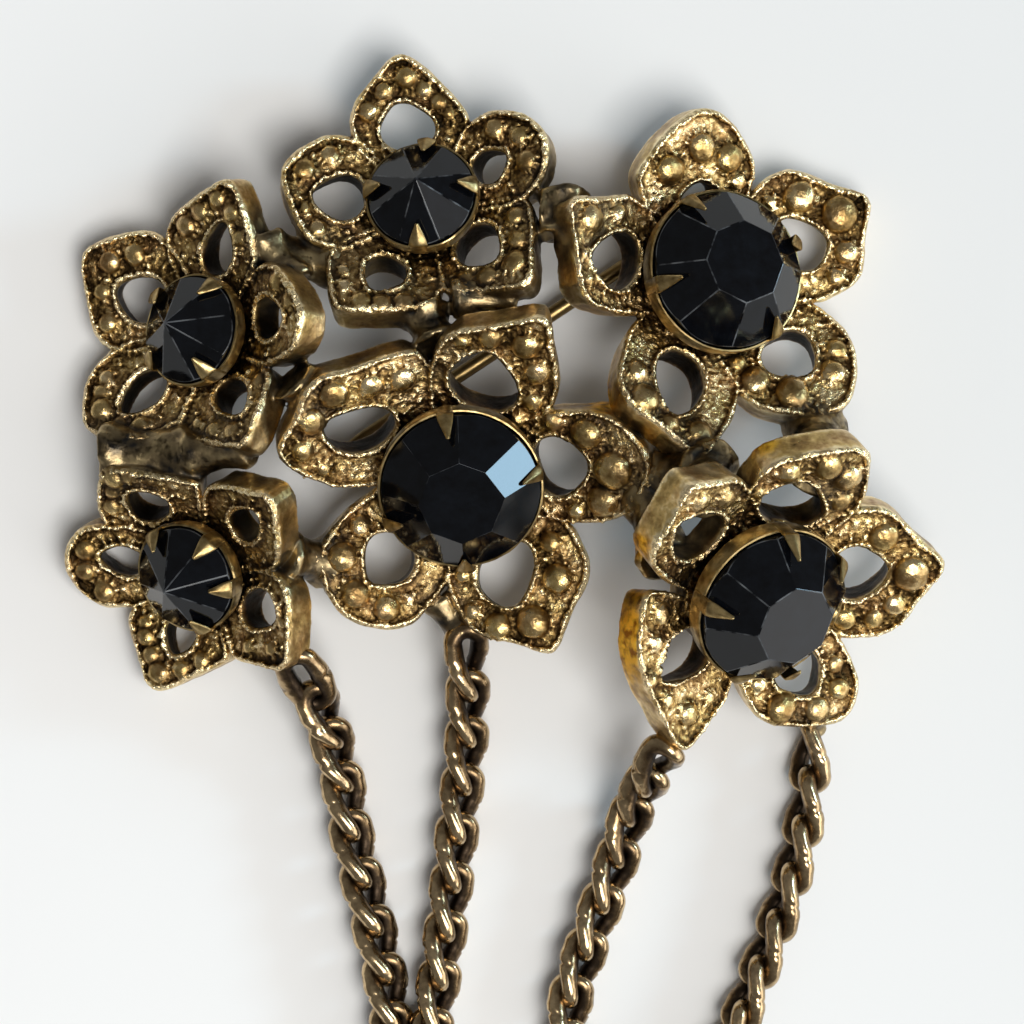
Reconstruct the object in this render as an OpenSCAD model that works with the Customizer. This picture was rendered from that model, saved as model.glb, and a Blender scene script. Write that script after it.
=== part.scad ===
// A brooch of six open-work flowers with black glass stones, soldered into a dome,
// with two chain swags below it and a hinged pin behind it.
// It lies face up. X runs to the right across its face, Y to the top edge, Z out of the face.
// The origin is under the middle of the whole object, on the surface that it lies on.

/* [Flowers] */
// Thickness of a small flower's petals
small_thick = 2.2; // [1.8:0.1:2.4]
// Thickness of a large flower's petals
large_thick = 2.3; // [1.9:0.1:2.5]
// Upward lean of every petal, in degrees
petal_lean = 20; // [14:1:22]

/* [Stones] */
// Radius of a small stone
small_stone_r = 3.45; // [3.2:0.05:3.6]
// Radius of a large stone
large_stone_r = 5.1; // [4.8:0.05:5.2]
// Height of a small stone's point over its girdle
small_crown = 3.0; // [2.4:0.1:3.4]
// Height of a large stone's table over its girdle
large_crown = 3.1; // [2.4:0.1:3.4]
// Gap between a stone and its claw cup
stone_gap = 0.06; // [0.04:0.01:0.1]

/* [Pin] */
// Radius of the pin stem
stem_r = 0.5; // [0.4:0.05:0.55]
// Length of the pin from the rivet to its point
pin_length = 28.8; // [27:0.1:29]
// Angle that the pin is opened to, in degrees
pin_angle = 0; // [0:1:75]

/* [Chains] */
// Radius of the chain wire
wire_r = 0.4; // [0.36:0.01:0.42]
// Outer width of a chain link
link_w = 3.0; // [2.9:0.05:3.2]
// Distance from one link to the next
link_pitch = 3.25; // [3.15:0.05:3.3]
// Play between one link and the next
link_play = 0.1; // [0.06:0.02:0.16]

/* [Hidden] */
$fn = 32;
stone_names = ["top", "left", "lower_left", "middle", "right", "lower_right"];
left_links = 17;
right_links = 16;
function number(i) = str(i < 10 ? "0" : "", i);

brass_colour = [0.66, 0.50, 0.24];
cup_colour = [0.72, 0.58, 0.30];
glass_colour = [0.03, 0.03, 0.04];
chain_colour = [0.46, 0.35, 0.22];

// Sizes of the two castings. Row 0 is the small flower, row 1 the large one.
// [root radius, notch, hub radius, thickness, corner at a shoulder, corner at a tip]
CAST = [[2.0, 2.8, 3.4, small_thick, 1.5, 1.3],
        [3.5, 3.0, 4.9, large_thick, 1.8, 1.3]];
// Sizes of the two stones. [radius, height of the girdle over the hub, crown, table radius, sides, pavilion]
STONE = [[small_stone_r, 1.8, small_crown, 0.0, 8, 1.3],
         [large_stone_r, 2.4, large_crown, 2.7, 8, 1.9]];

// One row for each flower.
// [x, y, z of its hub, tilt, direction that it tilts to, small or large, turn of its stone]
FLOWERS = [[-5.1, 23.8, 5.6, 18, 112, 0, 22],
           [-19.3, 15.5, 5.1, 32, 168, 0, 12],
           [-19.8, 0.2, 4.6, 32, 215, 0, 10],
           [-2.8, 6.2, 6.0, 19, 272, 1, -2],
           [13.5, 19.2, 4.7, 22, 20, 1, 0],
           [16.0, -1.0, 8.7, 37, 316, 1, 8]];

// One row for each petal. The right and left sides are as seen from its flower's centre.
// [flower, aim, half width, right shoulder, left shoulder, reach, tip to the left,
//  hole from, hole to, half hole, hole to the left, pinch of the sides beside the tip]
PETALS = [
    [0, 101, 3.7, 3.8, 5.2, 8.4, -0.4, 2.0, 4.9, 1.8, 0.4, 0.0],
    [0, 29, 3.2, 5.2, 4.8, 7.2, 0.0, 1.8, 4.1, 1.1, 0.0, 0.0],
    [0, 322, 4.1, 3.5, 4.0, 8.3, -0.7, 1.7, 4.7, 1.5, -0.4, 0.0],
    [0, 244, 3.9, 4.3, 4.8, 8.0, -1.4, 2.3, 5.0, 1.4, 0.0, 0.0],
    [0, 173, 3.8, 5.4, 5.5, 7.9, -0.8, 2.0, 5.2, 1.6, 0.5, 0.0],
    [1, 151, 4.1, 5.5, 5.3, 8.8, -0.7, 1.9, 5.2, 1.6, 0.3, 0.0],
    [1, 83, 3.5, 4.3, 5.2, 8.8, -1.9, 1.9, 5.2, 1.2, -1.1, 0.0],
    [1, 9, 3.2, 6.0, 4.7, 7.8, -0.7, 2.4, 4.8, 1.0, -0.5, 0.0],
    [1, 295, 3.8, 4.1, 3.9, 7.8, 1.2, 1.8, 4.7, 1.3, 1.2, 0.0],
    [1, 219, 3.5, 6.1, 5.1, 8.7, -0.1, 2.1, 5.5, 1.2, 0.4, 0.0],
    [2, 121, 3.8, 3.1, 4.9, 7.4, 0.8, 2.2, 4.6, 1.3, 0.6, 0.0],
    [2, 179, 2.8, 5.9, 5.5, 7.4, -0.2, 2.2, 4.8, 1.0, -0.6, 0.0],
    [2, 249, 3.7, 3.7, 3.2, 7.4, -0.3, 1.7, 4.1, 1.1, 0.1, 0.0],
    [2, 329, 3.5, 3.4, 4.9, 7.4, -1.2, 1.8, 4.0, 1.3, 1.3, 0.0],
    [2, 41, 3.3, 4.6, 4.3, 8.8, -0.2, 2.6, 5.4, 0.8, -0.1, 0.0],
    [3, 144, 5.2, 4.5, 7.3, 8.8, -0.5, 2.0, 6.1, 1.9, 1.7, 0.3],
    [3, 73, 4.0, 5.1, 6.3, 9.8, -1.9, 1.4, 5.6, 2.4, 1.0, 0.2],
    [3, 8, 3.7, 6.6, 6.6, 9.3, 0.1, 1.3, 4.8, 2.1, 0.1, 0.2],
    [3, 300, 4.5, 6.0, 6.0, 9.8, -0.4, 1.8, 5.5, 2.1, -1.1, 0.3],
    [3, 228, 4.0, 6.2, 6.2, 8.4, 0.0, 2.2, 5.4, 1.8, 0.1, 0.0],
    [4, 100, 3.7, 3.9, 4.0, 7.4, -0.8, 1.2, 3.3, 1.5, -0.2, 0.0],
    [4, 25, 4.3, 5.7, 4.5, 8.5, 0.5, 1.8, 4.7, 1.9, -0.8, 0.3],
    [4, 313, 4.1, 4.9, 5.9, 8.9, -0.1, 2.4, 5.2, 1.6, 0.0, 0.0],
    [4, 247, 4.7, 7.8, 4.9, 9.6, 2.4, 2.4, 7.0, 1.8, 0.0, 0.3],
    [4, 171, 3.5, 3.6, 6.3, 8.4, -2.3, 1.8, 5.6, 2.0, 0.9, 0.2],
    [5, 134, 3.8, 5.4, 6.2, 8.9, -1.1, 2.1, 6.3, 1.4, 0.6, 0.2],
    [5, 72, 4.1, 4.8, 5.6, 8.7, -1.6, 1.2, 4.4, 2.3, 0.8, 0.2],
    [5, 6, 4.6, 6.5, 5.7, 9.8, 0.3, 2.1, 5.6, 2.0, 0.0, 0.3],
    [5, 300, 3.6, 5.4, 6.7, 9.0, 1.4, 2.4, 5.3, 1.5, 0.3, 0.0],
    [5, 233, 3.9, 5.9, 3.3, 8.1, 2.1, 1.3, 5.0, 1.6, -1.3, 0.4]];

// Where the claws of each cup stand, in degrees round its stone.
CLAWS = [[174, 85, 7, 269],
         [53, 139, 215, 302],
         [122, 50, -5, -70],
         [101, 15, 273, 205],
         [123, 194, 22, 307],
         [88, 32, 171, 243, 290]];

// How far the petals start below the top of their hub.
petal_sink = 0.1;
cup_wall = 0.28;
cup_floor = 0.35;
cup_lift = 0.05;
rivet_r = [0.7, 0.9];
rivet_head = 0.4;
claw_w = [1.1, 1.3];
claw_tip = [1.3, 1.7];
claw_thick = 0.3;
stone_girdle = 0.5;

// Solder bars between the flowers. [x, y, z of one end, x, y, z of the other, radius]
SOLDER = [[-26.2, 7.8, 5.2, -20.0, 7.6, 7.2, 1.4],
          [-20.4, 7.6, 7.0, -16.4, 8.4, 9.0, 1.1],
          [-15.4, 20.6, 6.2, -10.6, 20.0, 6.2, 1.1],
          [3.8, 24.6, 6.8, 3.8, 21.6, 7.6, 1.0],
          [2.6, 23.0, 7.6, 5.0, 23.0, 8.0, 0.9],
          [-5.2, 16.8, 8.6, -4.2, 14.6, 9.0, 1.1],
          [-3.4, 17.6, 9.4, 0.8, 17.8, 9.6, 0.7],
          [7.0, 9.6, 7.8, 8.6, 11.0, 8.6, 1.0],
          [20.4, 9.6, 5.4, 20.0, 6.8, 11.6, 1.3],
          [13.4, 7.2, 9.6, 12.4, 5.0, 14.2, 1.0],
          [9.2, 5.0, 8.4, 10.4, 0.8, 10.9, 1.1],
          [-4.4, -1.8, 3.8, -2.6, -4.2, 3.6, 0.9],
          [20.4, -9.4, 3.8, 20.4, -10.4, 2.0, 0.6],
          [-14.4, 1.2, 8.6, -11.6, 0.6, 6.6, 1.1],
          [-13.6, 12.4, 9.4, -12.6, 11.4, 9.0, 1.0]];

// The pin lies in its own frame: X from the rivet to the point, Y along the rivet.
pin_x = 10.7;
pin_y = 22.0;
pin_z = 1.5;
pin_turn = 213.4;
eye_r = 1.15;
eye_w = 1.1;
hinge_rivet_r = 0.5;
hinge_clearance = 0.05;
ear_r = 1.5;
ear_w = 0.6;
ear_gap = 0.1;
ear_top = 2.6;
point_length = 5.0;
shank_length = 2.2;
catch_x = 27.2;
catch_w = 1.2;
catch_wall = 0.45;
catch_room = 0.65;
catch_top = 5.2;

// The routes of the chains from their loops on the frame down to the surface that they lie on.
// The left swag hangs from two strands that meet in a cross link, the right one is a single curve.
// [x, y, z]
LEFT_STRAND = [[-13.5, -5.9, 6.2], [-12.5, -7.8, 4.4], [-11.7, -10.0, 2.7], [-10.9, -12.8, 1.4],
               [-10.4, -16.0, 1.2], [-9.7, -19.2, 1.25], [-8.9, -22.5, 1.35], [-8.1, -25.7, 1.45],
               [-7.6, -28.9, 1.52], [-7.0, -33.0, 1.52], [-6.7, -35.0, 1.52]];
MIDDLE_STRAND = [[-2.5, -4.4, 3.6], [-2.4, -6.8, 2.8], [-2.4, -9.6, 1.9], [-2.6, -12.8, 1.3],
                 [-3.0, -16.0, 1.2], [-3.3, -19.2, 1.25], [-3.7, -22.5, 1.35], [-4.1, -25.7, 1.45],
                 [-4.6, -28.9, 1.52], [-5.2, -33.0, 1.52], [-5.5, -35.0, 1.52]];
RIGHT_ROUTE = [[10.3, -11.6, 7.2], [9.5, -13.4, 4.8], [8.3, -16.2, 2.1], [7.4, -19.5, 1.2],
               [6.2, -22.8, 1.2], [5.1, -26.0, 1.2], [4.2, -29.0, 1.2], [4.3, -31.8, 1.2],
               [6.4, -34.0, 1.2], [9.6, -34.6, 1.2], [12.7, -33.6, 1.2], [14.8, -31.2, 1.2],
               [16.0, -28.8, 1.2], [17.2, -25.6, 1.2], [18.4, -22.4, 1.2], [19.4, -19.0, 1.2],
               [20.0, -15.8, 1.2], [20.3, -13.2, 1.3], [20.4, -10.0, 1.5]];
// Links in the round of the right swag lie this much closer.
turn_tuck = 0.15;
turn_links = [6, 11];
route_steps = 10;
link_roll = 45;
// The lowest links of the left swag roll on end, a step at a time, to hook over the cross link.
hook_link = 8;
roll_step = 15;

// The whole object is moved so that the origin lies under its middle.
middle_x = -0.15;
middle_y = -1.0;

// Parts of the drawing that repeat

// A corner b between a and c, cut back by r and rounded.
function soft_corner(a, b, c, r) =
    let (u = (a - b) / norm(a - b), v = (c - b) / norm(c - b),
         s = b + u * min(r, norm(a - b) * 0.49), e = b + v * min(r, norm(c - b) * 0.49))
    [for (t = [0 : 0.25 : 1]) (1 - t) * (1 - t) * s + 2 * t * (1 - t) * b + t * t * e];

// An outline whose corners are rounded, or kept sharp where the radius is 0.
function soft_outline(p, r) =
    let (n = len(p))
    [for (i = [0 : n - 1])
        each r[i] == 0 ? [p[i]] : soft_corner(p[(i + n - 1) % n], p[i], p[(i + 1) % n], r[i])];

// A point beside the tip, on the side of the given shoulder, pushed in by pinch.
function beside_tip(shoulder, tip, pinch) =
    let (d = tip - shoulder, inward = shoulder[1] < 0 ? [-d[1], d[0]] : [d[1], -d[0]])
    shoulder * 0.45 + tip * 0.55 + inward / norm(d) * pinch;

function petal_outline(p, cast) =
    let (tip = [p[5], p[6]], right = [p[3], -p[2]], left = [p[4], p[2]],
         neck = min(p[2], (cast[0] + cast[1]) * tan(38)))
    soft_outline([[0, -cast[0] * 0.9], [cast[1], -neck], right, beside_tip(right, tip, p[11]), tip,
                  beside_tip(left, tip, p[11]), left, [cast[1], neck], [0, cast[0] * 0.9]],
                 [0, 0.4, cast[4], 1, cast[5], 1, cast[4], 0.4, 0]);

function hole_outline(p) =
    let (middle = p[7] + (p[8] - p[7]) * 0.45, h = p[9], side = p[10])
    soft_outline([[p[7], side * 0.2 - h * 0.55], [middle, side * 0.5 - h], [p[8], side - h * 0.3],
                  [p[8], side + h * 0.3], [middle, side * 0.5 + h], [p[7], side * 0.2 + h * 0.55]],
                 [for (i = [1 : 6]) h * 0.6]);

module at_flower(i) {
    f = FLOWERS[i];
    translate([f[0], f[1], f[2]]) rotate([0, 0, f[4]]) rotate([0, f[3], 0]) rotate([0, 0, -f[4]])
        children();
}

module rod(a, b, r) {
    d = b - a;
    translate(a) rotate([0, acos(d[2] / norm(d)), atan2(d[1], d[0])]) cylinder(h = norm(d), r = r);
}

module at_pin() {
    translate([pin_x, pin_y, pin_z]) rotate([0, 0, pin_turn]) children();
}

// Flowers

module petal(p, cast) {
    rotate([0, 0, p[1]]) translate([cast[0], 0, -petal_sink]) rotate([0, -petal_lean, 0])
        translate([0, 0, -cast[3]]) linear_extrude(cast[3]) difference() {
            polygon(petal_outline(p, cast));
            polygon(hole_outline(p));
        }
}

module flower(i) {
    cast = CAST[FLOWERS[i][5]];
    at_flower(i) {
        translate([0, 0, -cast[3]]) cylinder(h = cast[3], r = cast[2]);
        for (p = PETALS) if (p[0] == i) petal(p, cast);
    }
}

module rivet_hole(i) {
    big = FLOWERS[i][5];
    at_flower(i) translate([0, 0, -4]) cylinder(h = 5, r = rivet_r[big] + cup_lift);
}

// Hinge ears with the rivet, and the catch that holds the point

module ear(side) {
    y = side * (eye_w / 2 + ear_gap) - (side < 0 ? ear_w : 0);
    translate([0, y, 0]) {
        rotate([-90, 0, 0]) cylinder(h = ear_w, r = ear_r);
        translate([-ear_r, 0, 0]) cube([2 * ear_r, ear_w, ear_top]);
    }
}

module hinge() {
    reach = eye_w / 2 + ear_gap + ear_w;
    at_pin() {
        ear(1);
        ear(-1);
        translate([0, -reach, 0]) rotate([-90, 0, 0]) cylinder(h = 2 * reach, r = hinge_rivet_r);
    }
}

module catch() {
    outer = catch_room + catch_wall;
    at_pin() translate([catch_x - catch_w / 2, 0, 0]) {
        difference() {
            union() {
                rotate([0, 90, 0]) cylinder(h = catch_w, r = outer);
                translate([0, -outer, -outer]) cube([catch_w, 2 * outer, outer]);
            }
            translate([-1, 0, 0]) rotate([0, 90, 0]) cylinder(h = catch_w + 2, r = catch_room);
            translate([-1, -catch_room, -2 * outer]) cube([catch_w + 2, 2 * catch_room, 2 * outer]);
        }
        translate([0, -outer, catch_room + 0.2]) cube([catch_w, 2 * outer, catch_top]);
    }
}

// Pin

module pin_stem() {
    color(cup_colour) at_pin() rotate([0, pin_angle, 0]) {
        difference() {
            union() {
                translate([0, -eye_w / 2, 0]) rotate([-90, 0, 0]) cylinder(h = eye_w, r = eye_r);
                translate([0, -eye_w / 2, -eye_w / 2]) cube([shank_length, eye_w, eye_w]);
                rotate([0, 90, 0]) cylinder(h = pin_length - point_length, r = stem_r);
                translate([pin_length - point_length, 0, 0]) rotate([0, 90, 0])
                    cylinder(h = point_length, r1 = stem_r, r2 = 0.08);
            }
            translate([0, -eye_w, 0]) rotate([-90, 0, 0])
                cylinder(h = 2 * eye_w, r = hinge_rivet_r + hinge_clearance);
        }
    }
}

// Claw cups. A cup is a pressed pan with a rim, claws bent over the stone, and a rivet through the hub.

// Height at which the edge between two crown facets meets the side of the stone.
function corner_height(s) =
    s[1] + stone_girdle / 2
    + s[0] * (1 - cos(180 / s[4])) * (s[2] - stone_girdle / 2) / (s[0] - s[3] * cos(180 / s[4]));

module claw(big) {
    s = STONE[big];
    inside = s[0] + stone_gap;
    knee = corner_height(s) + stone_gap;
    slope = atan2(s[1] + s[2] - corner_height(s), s[0] - s[3]);
    w = claw_w[big];
    translate([inside, -w / 2, s[1]]) cube([claw_thick, w, knee - s[1] + claw_thick * 0.7]);
    translate([inside, -w / 2, knee]) rotate([0, slope - 180, 0]) mirror([0, 0, 1])
        translate([-0.1, 0, 0]) cube([claw_tip[big] + 0.1, w, claw_thick]);
}

module claw_cup(i) {
    big = FLOWERS[i][5];
    s = STONE[big];
    inside = s[0] + stone_gap;
    rim = s[1] + stone_girdle / 2;
    foot = s[0] * 0.62;
    shaft = CAST[big][3] + cup_lift * 2;
    color(cup_colour) at_flower(i) {
        rotate_extrude() polygon([
            [0, cup_lift], [foot, cup_lift], [inside + cup_wall, s[1] * 0.55], [inside + cup_wall, rim],
            [inside, rim], [inside, s[1] * 0.6], [foot - 0.1, cup_lift + cup_floor], [0, cup_lift + cup_floor]]);
        for (a = CLAWS[i]) rotate([0, 0, a]) claw(big);
        translate([0, 0, -shaft - rivet_head]) {
            cylinder(h = shaft + rivet_head + 0.1 + cup_lift, r = rivet_r[big]);
            cylinder(h = rivet_head, r = rivet_r[big] + 0.5);
        }
    }
}

// Stones. A round blank with flat facets cut above and below its girdle.

module facets(sides, inner, slope, size) {
    for (k = [0 : sides - 1]) rotate([0, 0, (k + 0.5) * 360 / sides])
        translate([inner, 0, 0]) rotate([0, slope - 90, 0]) translate([0, -size, -size]) cube(2 * size);
}

module stone(i) {
    big = FLOWERS[i][5];
    s = STONE[big];
    top = s[1] + s[2];
    low = s[1] - s[5];
    apothem = s[3] * cos(180 / s[4]);
    slope = atan2(s[2] - stone_girdle / 2, s[0] - apothem);
    under = atan2(s[5] - stone_girdle / 2, s[0] * 0.45);
    color(glass_colour) at_flower(i) rotate([0, 0, FLOWERS[i][6]]) difference() {
        translate([0, 0, low]) cylinder(h = top - low, r = s[0], $fn = 64);
        translate([0, 0, top]) facets(s[4], apothem, slope, 3 * s[0]);
        translate([0, 0, low]) mirror([0, 0, 1]) facets(s[4], s[0] * 0.55, under, 3 * s[0]);
    }
}

// Chains

function catmull(a, b, c, d, t) =
    0.5 * (2 * b + (c - a) * t + (2 * a - 5 * b + 4 * c - d) * t * t + (3 * b - a - 3 * c + d) * t * t * t);

// Close points on a smooth curve through the route.
function smooth_route(p) =
    let (n = len(p))
    concat([for (i = [0 : n - 2], j = [0 : route_steps - 1])
        catmull(p[max(i - 1, 0)], p[i], p[i + 1], p[min(i + 2, n - 1)], j / route_steps)], [p[n - 1]]);

// The last point before the curve gets a pitch away from a place.
function last_within(p, from, i, pitch) =
    i >= len(p) - 2 || norm(p[i + 1] - from) >= pitch ? i : last_within(p, from, i + 1, pitch);

// The place on the line from a towards b that is a pitch away from another place.
function pitch_away(a, b, from, pitch) =
    let (d = b - a, e = a - from, k = d * e, c = e * e - pitch * pitch)
    a + d * (sqrt(max(k * k - d * d * c, 0)) - k) / (d * d);

function in_turn(k, turn) = k >= turn[0] && k <= turn[1];

// The places where link meets link along a curve, the k-th and all after it.
function meeting_places(p, from, i, k, links, turn) =
    k == links ? [from] :
    let (pitch = link_pitch - (in_turn(k, turn) ? turn_tuck : 0), j = last_within(p, from, i, pitch))
    concat([from],
           meeting_places(p, pitch_away(p[j], p[j + 1], from, pitch), j, k + 1, links, turn));

function joints_on(route, links, turn) =
    let (p = smooth_route(route)) meeting_places(p, p[0], 0, 0, links, turn);

// Each swag is a list of links, the first and the last of them loops on the frame.
// [one end, other end, roll about its length]
function hook_roll(k) =
    (k % 2 == 0 ? link_roll : -link_roll) + max(0, roll_step * (k - hook_link) + link_roll);

LEFT_JOINTS = joints_on(LEFT_STRAND, hook_link + 1, [0, -1]);
MIDDLE_JOINTS = joints_on(MIDDLE_STRAND, hook_link + 1, [0, -1]);
RIGHT_JOINTS = joints_on(RIGHT_ROUTE, right_links + 2, turn_links);
cross_middle = (LEFT_JOINTS[hook_link + 1] + MIDDLE_JOINTS[hook_link + 1]) / 2
    - [0, wire_r + link_play / 2, 0];
LEFT_SWAG = concat(
    [for (k = [0 : hook_link]) [LEFT_JOINTS[k], LEFT_JOINTS[k + 1], hook_roll(k)]],
    [[cross_middle - [link_pitch / 2, 0, 0], cross_middle + [link_pitch / 2, 0, 0], 0]],
    [for (k = [hook_link : -1 : 0]) [MIDDLE_JOINTS[k + 1], MIDDLE_JOINTS[k], hook_roll(k)]]);
RIGHT_SWAG = [for (k = [0 : right_links + 1])
    [RIGHT_JOINTS[k], RIGHT_JOINTS[k + 1], k % 2 == 0 ? link_roll : -link_roll]];

// A round wire bent to an oval between two places, rolled about its length.
module chain_link(l) {
    d = l[1] - l[0];
    bend = link_w / 2 - wire_r;
    straight = link_pitch + 2 * wire_r + link_play - 2 * bend;
    color(chain_colour) translate((l[0] + l[1]) / 2)
        rotate([0, asin(-d[2] / norm(d)), atan2(d[1], d[0])]) rotate([l[2], 0, 0])
            for (side = [0, 180]) rotate([0, 0, side]) {
                translate([straight / 2, 0, 0]) rotate([0, 0, -90])
                    rotate_extrude(angle = 180) translate([bend, 0]) circle(r = wire_r, $fn = 20);
                translate([-straight / 2, bend, 0]) rotate([0, 90, 0])
                    cylinder(h = straight, r = wire_r, $fn = 20);
            }
}

module chain_loops() {
    for (swag = [LEFT_SWAG, RIGHT_SWAG]) {
        chain_link(swag[0]);
        chain_link(swag[len(swag) - 1]);
    }
}

module flower_frame() {
    color(brass_colour) {
        difference() {
            union() {
                for (i = [0 : len(FLOWERS) - 1]) flower(i);
                for (s = SOLDER) rod([s[0], s[1], s[2]], [s[3], s[4], s[5]], s[6]);
            }
            for (i = [0 : len(FLOWERS) - 1]) rivet_hole(i);
        }
        hinge();
        catch();
        chain_loops();
    }
}

translate([-middle_x, -middle_y, 0]) {
    flower_frame();
    pin_stem();
    for (i = [0 : len(stone_names) - 1]) {
        claw_cup(i);
        stone(i);
    }
    for (k = [1 : left_links])
        chain_link(LEFT_SWAG[k]);
    for (k = [1 : right_links])
        chain_link(RIGHT_SWAG[k]);
}
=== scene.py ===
"""Looks of the flower brooch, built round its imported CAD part.

New pieces are modelled in millimetres, where they sit on the brooch, and made metres at the end.
Stones, cups and petals are modelled in the frame of their own flower and then put in place.
"""
import math
from collections import namedtuple

import bmesh
import bpy
import numpy as np
from mathutils import Matrix, Vector


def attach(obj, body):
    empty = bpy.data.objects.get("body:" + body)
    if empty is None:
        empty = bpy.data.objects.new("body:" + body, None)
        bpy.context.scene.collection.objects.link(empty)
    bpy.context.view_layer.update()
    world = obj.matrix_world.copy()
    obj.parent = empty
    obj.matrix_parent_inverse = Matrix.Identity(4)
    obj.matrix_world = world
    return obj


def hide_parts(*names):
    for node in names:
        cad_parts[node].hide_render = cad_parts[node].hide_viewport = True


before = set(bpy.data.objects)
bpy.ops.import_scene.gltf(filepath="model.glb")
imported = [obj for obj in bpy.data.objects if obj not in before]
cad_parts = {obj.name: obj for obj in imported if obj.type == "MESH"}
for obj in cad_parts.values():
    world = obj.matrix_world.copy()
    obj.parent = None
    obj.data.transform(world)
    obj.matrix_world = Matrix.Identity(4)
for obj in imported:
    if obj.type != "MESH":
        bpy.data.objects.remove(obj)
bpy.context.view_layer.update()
chance = np.random.default_rng(7)

MM = 0.001
# The part's own drawing is moved by this much in the frame.
SHIFT = Vector((0.15, 1.0, 0.0))
# The camera looks straight down from here. A pixel of the picture covers this much at 224 mm from it,
# so its rays lean by this share for each pixel from the middle.
EYE = Vector((0.67, 4.9, 230.0))
PIXEL_WIDE = 0.065
PIXEL = PIXEL_WIDE / 224.0
HALF_PICTURE = 512

# Sizes of the two castings
CAST = {
    "small": dict(root=2.0, notch=2.8, hub=3.4, thick=2.2, shoulder=2.3, tip=1.4, triangles=80000),
    "large": dict(root=3.5, notch=3.0, hub=4.9, thick=2.3, shoulder=2.9, tip=1.5, triangles=125000),
}
# Sizes of the two stones, their claws and their cups' rivets. Heights are over the face of the hub.
STONE = {
    "small": dict(radius=3.45, girdle=1.8, crown=3.0, table=0.0, under=1.3,
                  claw_width=1.15, claw_tip=1.45, rivet=0.7),
    "large": dict(radius=5.1, girdle=2.4, crown=3.1, table=2.7, under=1.9,
                  claw_width=1.0, claw_tip=1.8, rivet=0.9),
}
# x, y, z of the hub's face, its tilt, the direction of the tilt, the casting's size, the turn of the stone
Flower = namedtuple("Flower", "x y z tilt toward size turned")
# aim, half width, where its right and left shoulders are, reach, how far its tip is to the left,
# its window from, to, half width and how far to the left, and the pinch of its sides beside the tip
Petal = namedtuple("Petal", "aim half right left reach lean start end opening side pinch")
# The two castings that a run of solder joins, its two ends and its radius
Run = namedtuple("Run", "one two x0 y0 z0 x1 y1 z1 radius")

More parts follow.
